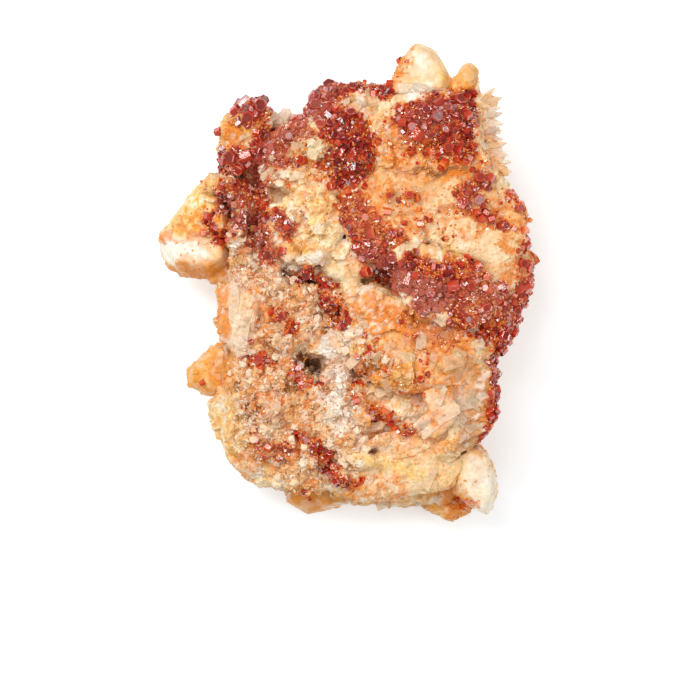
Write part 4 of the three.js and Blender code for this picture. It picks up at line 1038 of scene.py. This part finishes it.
# Joins meshes that carry the same attributes
def joinMeshes(name, meshes, material):
    parts = [addObject(name, mesh) for mesh in meshes]
    with bpy.context.temp_override(active_object=parts[0], selected_editable_objects=parts):
        bpy.ops.object.join()
    dress(parts[0], material)
    return parts[0]


# What grows over the grounds in several passes, with the meshes that were placed one by one
def grownPiece(name, grounds, growthAt, passes, material, placedMeshes=()):
    bed = bedFrom(grounds, growthAt, name + "_bed")
    meshes = [grow(bed, tree, settings, material) for settings in passes]
    bpy.data.objects.remove(bed)
    return joinMeshes(name, [*meshes, *placedMeshes], material)


# Outlines of the crusts, which stand for the CAD's own
crustOutlines = {
    "vanadinite_knob_cap": [(-24, 30.6), (-24, 39), (-14, 39), (-15, 31)],
    "vanadinite_knob_foot": [(-27, 21), (-27, 28), (-18, 30), (-14, 30), (-15, 25), (-18, 21)],
    "vanadinite_crown_west": [(-10, 33), (-9, 41), (-1.4, 41), (-1.4, 34)],
    "vanadinite_crown_east": [(-1.4, 34.6), (-1.4, 41), (10, 41), (10, 35)],
    "vanadinite_ridge": [(-20, 18), (-18, 27), (-12, 33), (-6, 35), (2, 34.6), (7.4, 30), (6.6, 22),
        (5, 18.4)],
    "vanadinite_far_cluster": [(7, 23), (7, 38), (30, 38), (30, 23)],
    "vanadinite_band": [(-3, 19), (5.4, 18.4), (18, 10), (16, 5.6), (9.8, 3.2), (0, 3)],
    "vanadinite_plateau": [(9.8, 3.2), (16, 5.6), (18, 9), (28, 4), (30.6, 0), (31.6, -4), (31, -12),
        (18, -15), (3, -4), (3, 2.8)],
    "vanadinite_rim": [(29, 19), (40, 19), (40, -6), (34, -15), (31, -12), (31.6, -4), (30.6, 0), (33, 9)],
    "vanadinite_flank": [(29, -12.6), (34, -15), (33, -34), (27, -34), (28.6, -28)],
}


def insideOutline(spots, outline):
    within = np.zeros(len(spots), bool)
    for (ax, ay), (bx, by) in zip(outline, outline[1:] + outline[:1]):
        crosses = (ay > spots[:, 1]) != (by > spots[:, 1])
        side = ax + (spots[:, 1] - ay) / ((by - ay) or 1e-9) * (bx - ax)
        within ^= crosses & (spots[:, 0] < side)
    return within


# Crystals that stand out one by one: x, y, width, tone, lean in degrees, which way it leans
heroCrystals = [
    (11.5, 31.8, 2.0, 0.3, 14, 200), (13, 33.2, 2.0, 0.35, 20, 120), (13.2, 31.0, 2.0, 0.3, 12, 300),
    (14.5, 29.4, 2.9, 0.35, 10, 240), (16, 34, 2.2, 0.1, 24, 60), (18.2, 33, 2.8, -0.05, 12, 10),
    (18.6, 35.4, 2.5, -0.05, 26, 90), (19.8, 30.6, 2.0, 0.3, 16, 330), (22.8, 36.4, 2.4, 0.1, 30, 40),
    (24.3, 33.2, 2.0, 0.35, 28, 0), (22, 30.3, 1.6, 0.35, 20, 280), (20.8, 27, 2.4, 0.4, 18, 250),
    (23.2, 27.6, 2.0, 0.0, 14, 180), (16.6, 31.6, 1.8, 0.3, 30, 100), (21, 34.6, 1.8, 0.2, 34, 150),
    (-2.5, 33, 1.8, 0.2, 20, 120), (0.8, 33.7, 2.0, 0.2, 26, 80), (-0.3, 31.4, 1.6, 0.3, 16, 200),
    (2.8, 31.4, 1.8, 0.25, 20, 30), (5.1, 29, 1.8, 0.2, 30, 350), (2.6, 28.4, 1.6, 0.4, 24, 300),
    (-1.8, 27.6, 1.6, 0.4, 12, 60), (1.6, 25.4, 1.6, 0.45, 20, 150), (-3.5, 39.6, 2.8, -0.15, 24, 100),
    (-6.4, 37.4, 2.2, -0.1, 30, 160), (1.2, 39.0, 2.0, 0.0, 30, 80), (7, 38.8, 1.8, 0.1, 30, 60),
    (-20.6, 36.2, 3.0, 0.0, 16, 300), (-18, 35.4, 2.9, 0.1, 22, 20), (-20, 33.4, 2.7, 0.15, 16, 250),
    (-22.4, 34.6, 2.2, 0.1, 34, 170), (-17.2, 36.8, 2.2, 0.0, 36, 50), (-23.4, 25, 2.9, 0.0, 28, 180),
    (-20.4, 25.4, 2.7, 0.2, 16, 260), (-22, 22.8, 2.4, 0.4, 30, 240), (-17.6, 26.2, 2.0, 0.1, 26, 340),
    (-26, 30.4, 1.8, 0.2, 30, 180), (8.8, 17, 1.5, 0.6, 16, 200), (12.8, 17, 1.7, 0.6, 14, 90),
    (15, 11.3, 1.6, 0.7, 20, 270), (16.8, 12, 1.2, 0.6, 30, 0), (27, 20.5, 2.2, 0.3, 20, 60),
    (29, 20.5, 1.8, 0.3, 26, 10), (24, 16, 2.0, 0.5, 16, 210), (26.8, 16.3, 2.3, 0.15, 12, 300),
    (27.7, 12.6, 1.8, 0.4, 26, 250), (32, 11, 2.0, 0.3, 20, 330), (35, 14.5, 1.8, 0.4, 34, 20),
    (36.4, 7, 2.1, 0.3, 34, 10), (35.8, 3.5, 2.1, 0.35, 26, 340), (37.2, 2.3, 1.9, 0.3, 44, 350),
    (36.6, -1.5, 2.1, 0.3, 30, 330), (34.6, -6, 1.8, 0.35, 30, 320), (33, -10, 1.8, 0.3, 34, 300),
    (2.4, 6.6, 1.7, 0.3, 16, 220), (5, 5, 1.7, 0.25, 24, 260), (8, 3.6, 1.6, 0.2, 18, 290),
    (21.7, -1.5, 2.6, 0.3, 12, 120), (25, -1.6, 1.8, 0.35, 20, 30), (17, -2.6, 2.2, 0.35, 10, 240),
    (14, 0.6, 2.0, 0.3, 14, 160), (23.6, -4.4, 1.8, 0.4, 20, 300), (28, -5.6, 1.8, 0.4, 26, 330),
    (-18.9, 12.4, 1.6, 0.2, 24, 200), (-15.5, 5, 1.8, 0.2, 20, 250), (-8.2, 1, 2.0, 0.1, 20, 230),
    (-12, 10.6, 1.6, 0.3, 14, 200), (-13, -7.4, 1.8, 0.35, 20, 200), (-19.5, -12.6, 1.3, 0.45, 20, 100),
    (-29.6, -21, 1.2, 0.5, 20, 200), (-8.5, -43.2, 1.6, 0.3, 30, 270), (-10, -18, 1.6, 0.35, 20, 0),
    (-9.4, -21, 1.6, 0.2, 20, 60), (-18, -16.4, 2.1, 0.45, 12, 90), (-3.9, -34.6, 1.6, 0.15, 20, 200),
    (2, -24.5, 1.6, 0.4, 14, 100), (13.5, -31, 1.3, 0.45, 24, 280), (0.5, -8, 1.5, 0.3, 20, 20),
]

# Barite plates placed one by one: x, y, length, width, turn in degrees, lean, which way, colour
handPlates = [
    (14.2, -28.6, 4.6, 2.6, 52, 24, 120, "pane"), (17.2, -30.2, 5.4, 2.4, 42, 22, 140, "white"),
    (20.6, -27.2, 6.0, 3.4, 38, 18, 130, "pane"), (11.8, -26.6, 4.2, 2.4, 64, 26, 160, "cream"),
    (23.6, -25, 5.4, 4.4, 22, 18, 80, "rose"), (19, -23.4, 4.2, 3.0, 74, 22, 160, "white"),
    (15.4, -24.4, 4.2, 3.2, 12, 24, 100, "rose"), (9.8, -29.4, 5.2, 2.0, 32, 34, 130, "pane"),
    (5.2, -30, 5.6, 2.1, 10, 30, 100, "pane"), (25, -10, 3.2, 2.4, -20, 14, 200, "pane"),
    (26.6, -13, 3.2, 2.4, 15, 16, 220, "pane"), (21.5, -16.6, 4.6, 4.0, 25, 10, 260, "peach"),
    (18.2, -15.2, 3.4, 2.6, 70, 18, 100, "rose"), (12.6, -15.4, 3.2, 2.2, -40, 20, 60, "cream"),
    (8, -14.4, 3.6, 2.2, 80, 24, 180, "cream"), (-19, 27.3, 5.0, 1.8, -18, 26, 90, "pane"),
    (-20.6, 29.2, 3.0, 1.3, 30, 24, 60, "pane"), (-13.2, 33, 5.4, 2.8, 62, 20, 150, "rose"),
    (-6.3, 32, 3.2, 1.7, 30, 16, 120, "pane"), (-6.5, 26.4, 4.8, 3.2, 80, 14, 180, "cream"),
    (-9.6, 26.6, 3.4, 3.0, 10, 18, 240, "cream"), (3, -20.8, 3.6, 2.2, 20, 26, 90, "pane"),
    (1.8, -16.2, 4.4, 2.8, 45, 22, 120, "pane"), (-14.5, -26.6, 3.6, 2.0, 60, 20, 140, "pane"),
    (-17, -25, 2.6, 2.2, 0, 18, 200, "rose"), (-3.6, -27.4, 3.6, 2.4, 20, 24, 100, "pane"),
    (-18.8, -7.4, 6.4, 1.3, 80, 40, 180, "orange"), (-17.4, -9.6, 5.6, 1.2, 84, 40, 180, "ochre"),
    (-20.2, -9, 6.8, 1.8, 82, 26, 180, "pane"), (-20.4, -14.6, 4.4, 2.4, 20, 20, 90, "pane"),
    (-22.8, -5, 8.0, 2.6, 88, 14, 180, "rose"), (-16, 21.4, 3.4, 2.2, 40, 20, 120, "cream"),
    (-10, 21, 3.6, 2.4, 15, 20, 100, "cream"), (12.6, 6.4, 4.0, 1.6, 10, 20, 100, "tan"),
    (18.6, -8.2, 3.6, 2.2, -30, 14, 60, "pane"), (4.6, 2.8, 2.8, 1.8, -20, 16, 60, "salmon"),
    (22, -39, 6.0, 2.6, 60, 24, 160, "yellow"), (17, -40.4, 5.4, 2.6, 70, 20, 180, "cream"),
    (27.2, -24.6, 4.6, 3.6, 60, 20, 20, "tan"), (26.6, -29.6, 6.0, 2.6, 24, 24, 110, "cream"),
]

# Pointed fins along the upper right edge: x, y, length, width, turn, lean, colour
fins = [
    (29.4, 36.6, 5.0, 1.5, 12, -20, "rose"), (28.6, 37.6, 4.6, 1.2, 40, -24, "peach"),
    (29.2, 35.0, 4.8, 1.9, -4, -10, "white"), (29.4, 33.6, 4.8, 1.5, 8, 16, "grey"),
    (29.6, 32.0, 5.0, 1.8, -8, -14, "white"), (29.0, 30.4, 4.6, 1.6, 14, 20, "grey"),
    (29.8, 29.0, 4.4, 1.6, -14, -18, "rose"), (30.4, 27.4, 4.6, 1.5, 6, 12, "peach"),
    (30.8, 25.8, 4.6, 1.6, -16, -16, "rose"), (31.4, 24.2, 4.4, 1.4, -6, 20, "white"),
    (31.8, 22.6, 4.2, 1.5, -24, -14, "peach"), (32.8, 20.6, 4.0, 1.3, -20, 14, "cream"),
    (26.4, 38.8, 4.0, 1.2, 66, -20, "cream"), (27.6, 38.4, 3.8, 1.1, 50, 16, "peach"),
    (12.6, 38.8, 4.4, 2.4, 10, 14, "white"), (15.6, 38.7, 4.6, 2.4, -6, 12, "rose"),
    (18.6, 38.2, 4.2, 2.0, 16, 16, "peach"),
]


def surfaceOf(pieces):
    corners, faces, tints = [], [], []
    for piece in pieces:
        start = len(corners)
        corners.extend(corner.co.copy() for corner in piece.data.vertices)
        faces.extend(tuple(start + i for i in polygon.vertices) for polygon in piece.data.polygons)
        tints.append(colourOf(piece.data, "tint"))
    return {"tree": BVHTree.FromPolygons(corners, faces), "faces": faces, "tints": np.concatenate(tints)}


aboveAll = 60  # a height over the whole specimen


# A copy of a form standing on the surface below x, y, with its own numbers on every corner
def placed(form, x, y, scale, turn, lean, leanWay, sink, numbers, tint=None):
    spot, _, face, _ = surface["tree"].ray_cast(Vector((x, y, aboveAll)) * mm, Vector((0, 0, -1)))
    if spot is None:
        return None
    axis = Matrix.Rotation(math.radians(leanWay), 4, "Z") @ Vector((0, 1, 0))
    leaning = Matrix.Rotation(math.radians(lean), 4, axis)
    turned = Matrix.Rotation(math.radians(turn), 4, "Z")
    sized = Matrix.Diagonal((*[value * mm for value in scale], 1))
    mesh = forms[form].data.copy()
    mesh.transform(Matrix.Translation(spot + Vector((0, 0, -sink * mm))) @ leaning @ turned @ sized)
    for name, value in numbers.items():
        storeFloat(mesh, name, np.full(len(mesh.vertices), value))
    if tint:
        places = meshArrays(mesh)[0]
        setPlaces(mesh, strayed(strayed(places, 2.4, 0.2, 24), 0.7, 0.14, 25))
        ground = surface["tints"][list(surface["faces"][face])].mean(axis=0)
        mottle = np.clip(0.45 + 0.8 * noiseAt(places, 1.3, 26), 0, 1)
        storeColour(mesh, "tint", palette[tint] + (ground - palette[tint]) * mottle[:, None])
    return mesh


surface = surfaceOf(grounds)
heroForms = ("lying", "hollow", "flat")
heroNumbers = {"hue": 0.1, "sheenVeil": 0.2}
heroShape = {"lean": 1.3, "sink": -0.1, "turnStep": 37, "turns": 60}
heroes = []
for number, (x, y, width, tone, lean, leanWay) in enumerate(heroCrystals):
    turn = number * heroShape["turnStep"] % heroShape["turns"]
    mesh = placed(heroForms[number % 3], x, y, (width,) * 3, turn, lean * heroShape["lean"], leanWay,
                  heroShape["sink"] * width, {"tone": tone, **heroNumbers})
    if mesh:
        heroes.append((x, y, mesh))

plateNumbers = {"tone": 0.72, "hue": 0, "sheenVeil": 0}
plateShape = {"widen": 1.45, "depth": 5, "lean": 0.8, "sink": 0.15}
finShape = {"widen": 1.7, "depth": 7}
plates = []
for x, y, length, width, turn, lean, leanWay, tint in handPlates:
    scale = (length, width * plateShape["widen"], plateShape["depth"])
    plates.append(placed("plate", x, y, scale, turn, lean * plateShape["lean"], leanWay, plateShape["sink"],
                         plateNumbers, tint))
for x, y, length, width, turn, lean, tint in fins:
    scale = (length, width * finShape["widen"], finShape["depth"])
    plates.append(placed("fin", x, y, scale, turn, lean, turn + 90, 0, plateNumbers, tint))
print("single crystals and plates placed", len(heroes), len(plates))

# Sizes of the crystals, from the wide dark ones to the fine orange ones between them
crystalPasses = [
    {"form": "hollow", "spacing": 3.0, "density": 0.05, "size": (1.8, 2.4), "lean": 1.1,
        "tone": (-0.2, 0.3), "seed": 3},
    {"form": "flat", "spacing": 1.6, "density": 0.14, "size": (1.1, 1.8), "lean": 1.4, "tone": (-0.3, 0.4),
        "seed": 5},
    {"form": "lying", "spacing": 1.3, "density": 0.34, "size": (0.9, 1.7), "lean": 0.7,
        "tone": (-0.35, 0.35), "seed": 6},
    {"form": "plain", "spacing": 0.7, "density": 1.3, "size": (0.5, 1.05), "lean": 1.5, "tone": (-0.3, 0.8),
        "seed": 7},
    {"form": "grain", "spacing": 0.34, "density": 7.5, "size": (0.26, 0.6), "lean": 1.4,
        "tone": (-0.1, 1.15), "seed": 9},
]
dustPass = {"form": "grain", "spacing": 0.28, "density": 5.2, "size": (0.18, 0.44), "lean": 1.4,
            "tone": (0.55, 1.25), "seed": 11}
flakePasses = [
    {"form": "flake", "spacing": 3.0, "density": 0.06, "size": (2.2, 4.0), "lean": 0.35, "tone": (0.6, 0.9),
        "seed": 31},
    {"form": "flake", "spacing": 1.6, "density": 0.14, "size": (0.9, 2.0), "lean": 0.7,
        "tone": (0.38, 0.95), "seed": 33},
]

# Pebbles, crumbs and dust over the crumbly ground
grainPasses = [
    {"form": "pebble", "spacing": 1.9, "density": 0.16, "size": (1.1, 2.2), "lean": 1.5,
        "tone": (0.3, 0.95), "seed": 21},
    {"form": "crumb", "spacing": 0.75, "density": 1.3, "size": (0.6, 1.2), "lean": 3, "tone": (0.0, 1.0),
        "seed": 22},
    {"form": "dust", "spacing": 0.38, "density": 3.6, "size": (0.3, 0.62), "lean": 3, "tone": (0.0, 1.0),
        "seed": 23},
]

# Lowest height at which each of them grows
lowest = {"crust": 8, "sprinkle": 6, "crumbs": 4, "flakes": 6}


def redInside(outline):
    def growthAt(mesh, places, normals):
        return valueOf(mesh, "red") * insideOutline(places[:, :2], outline) * (places[:, 2] > lowest["crust"])
    return growthAt


def sprinkleGrowth(mesh, places, normals):
    taken = np.zeros(len(places), bool)
    for outline in crustOutlines.values():
        taken |= insideOutline(places[:, :2], outline)
    return valueOf(mesh, "red") * ~taken * (places[:, 2] > lowest["sprinkle"])


def crumbGrowth(mesh, places, normals):
    up = eased(normals[:, 2], -0.1, 0.3)
    clean = eased(colourOf(mesh, "tint")[:, 0], 0.1, 0.3)
    high = places[:, 2] > lowest["crumbs"]
    return valueOf(mesh, "crumbly") ** 1.5 * up * clean * high * (1 - 0.6 * valueOf(mesh, "red"))


def dustGrowth(mesh, places, normals):
    clumps = noiseAt(places, 1.8, 19) + 0.4 * noiseAt(places, 0.8, 20)
    return valueOf(mesh, "dusty") * eased(normals[:, 2], -0.2, 0.3) * eased(clumps, -0.2, 0.3)


def flakeGrowth(mesh, places, normals):
    high = places[:, 2] > lowest["flakes"]
    unreddened = 1 - 0.8 * eased(valueOf(mesh, "red"), 0.2, 0.6)
    clean = eased(colourOf(mesh, "tint")[:, 0], 0.15, 0.35)
    up = eased(normals[:, 2], -0.1, 0.3)
    return groundMask(places[:, :2], flakeGround) * up * high * unreddened * clean


tree = growthTree()
for node, outline in crustOutlines.items():
    own = [hero for hero in heroes if insideOutline(np.array([hero[:2]]), outline)[0]]
    heroes = [hero for hero in heroes if hero not in own]
    piece = grownPiece(node.replace("vanadinite_", "vanadinite_crystals_"), grounds, redInside(outline),
                       crystalPasses, red, [hero[2] for hero in own])
    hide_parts(node)
    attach(piece, "root")
    print(node, len(piece.data.polygons))

sprinkle = grownPiece("vanadinite_sprinkle", grounds, sprinkleGrowth, crystalPasses[1:], red,
                      [hero[2] for hero in heroes])
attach(sprinkle, "root")
print("sprinkle", len(sprinkle.data.polygons))

crumbs = grownPiece("loose_grains", [rock], crumbGrowth, grainPasses, granuleStone)
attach(crumbs, "root")
print("loose grains", len(crumbs.data.polygons))

dust = grownPiece("vanadinite_dust", grounds, dustGrowth, [dustPass], orange)
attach(dust, "root")
print("dust", len(dust.data.polygons))

flakes = grownPiece("barite_flakes", grounds, flakeGrowth, flakePasses, flakeBarite, plates)
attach(flakes, "root")
print("flakes", len(flakes.data.polygons))
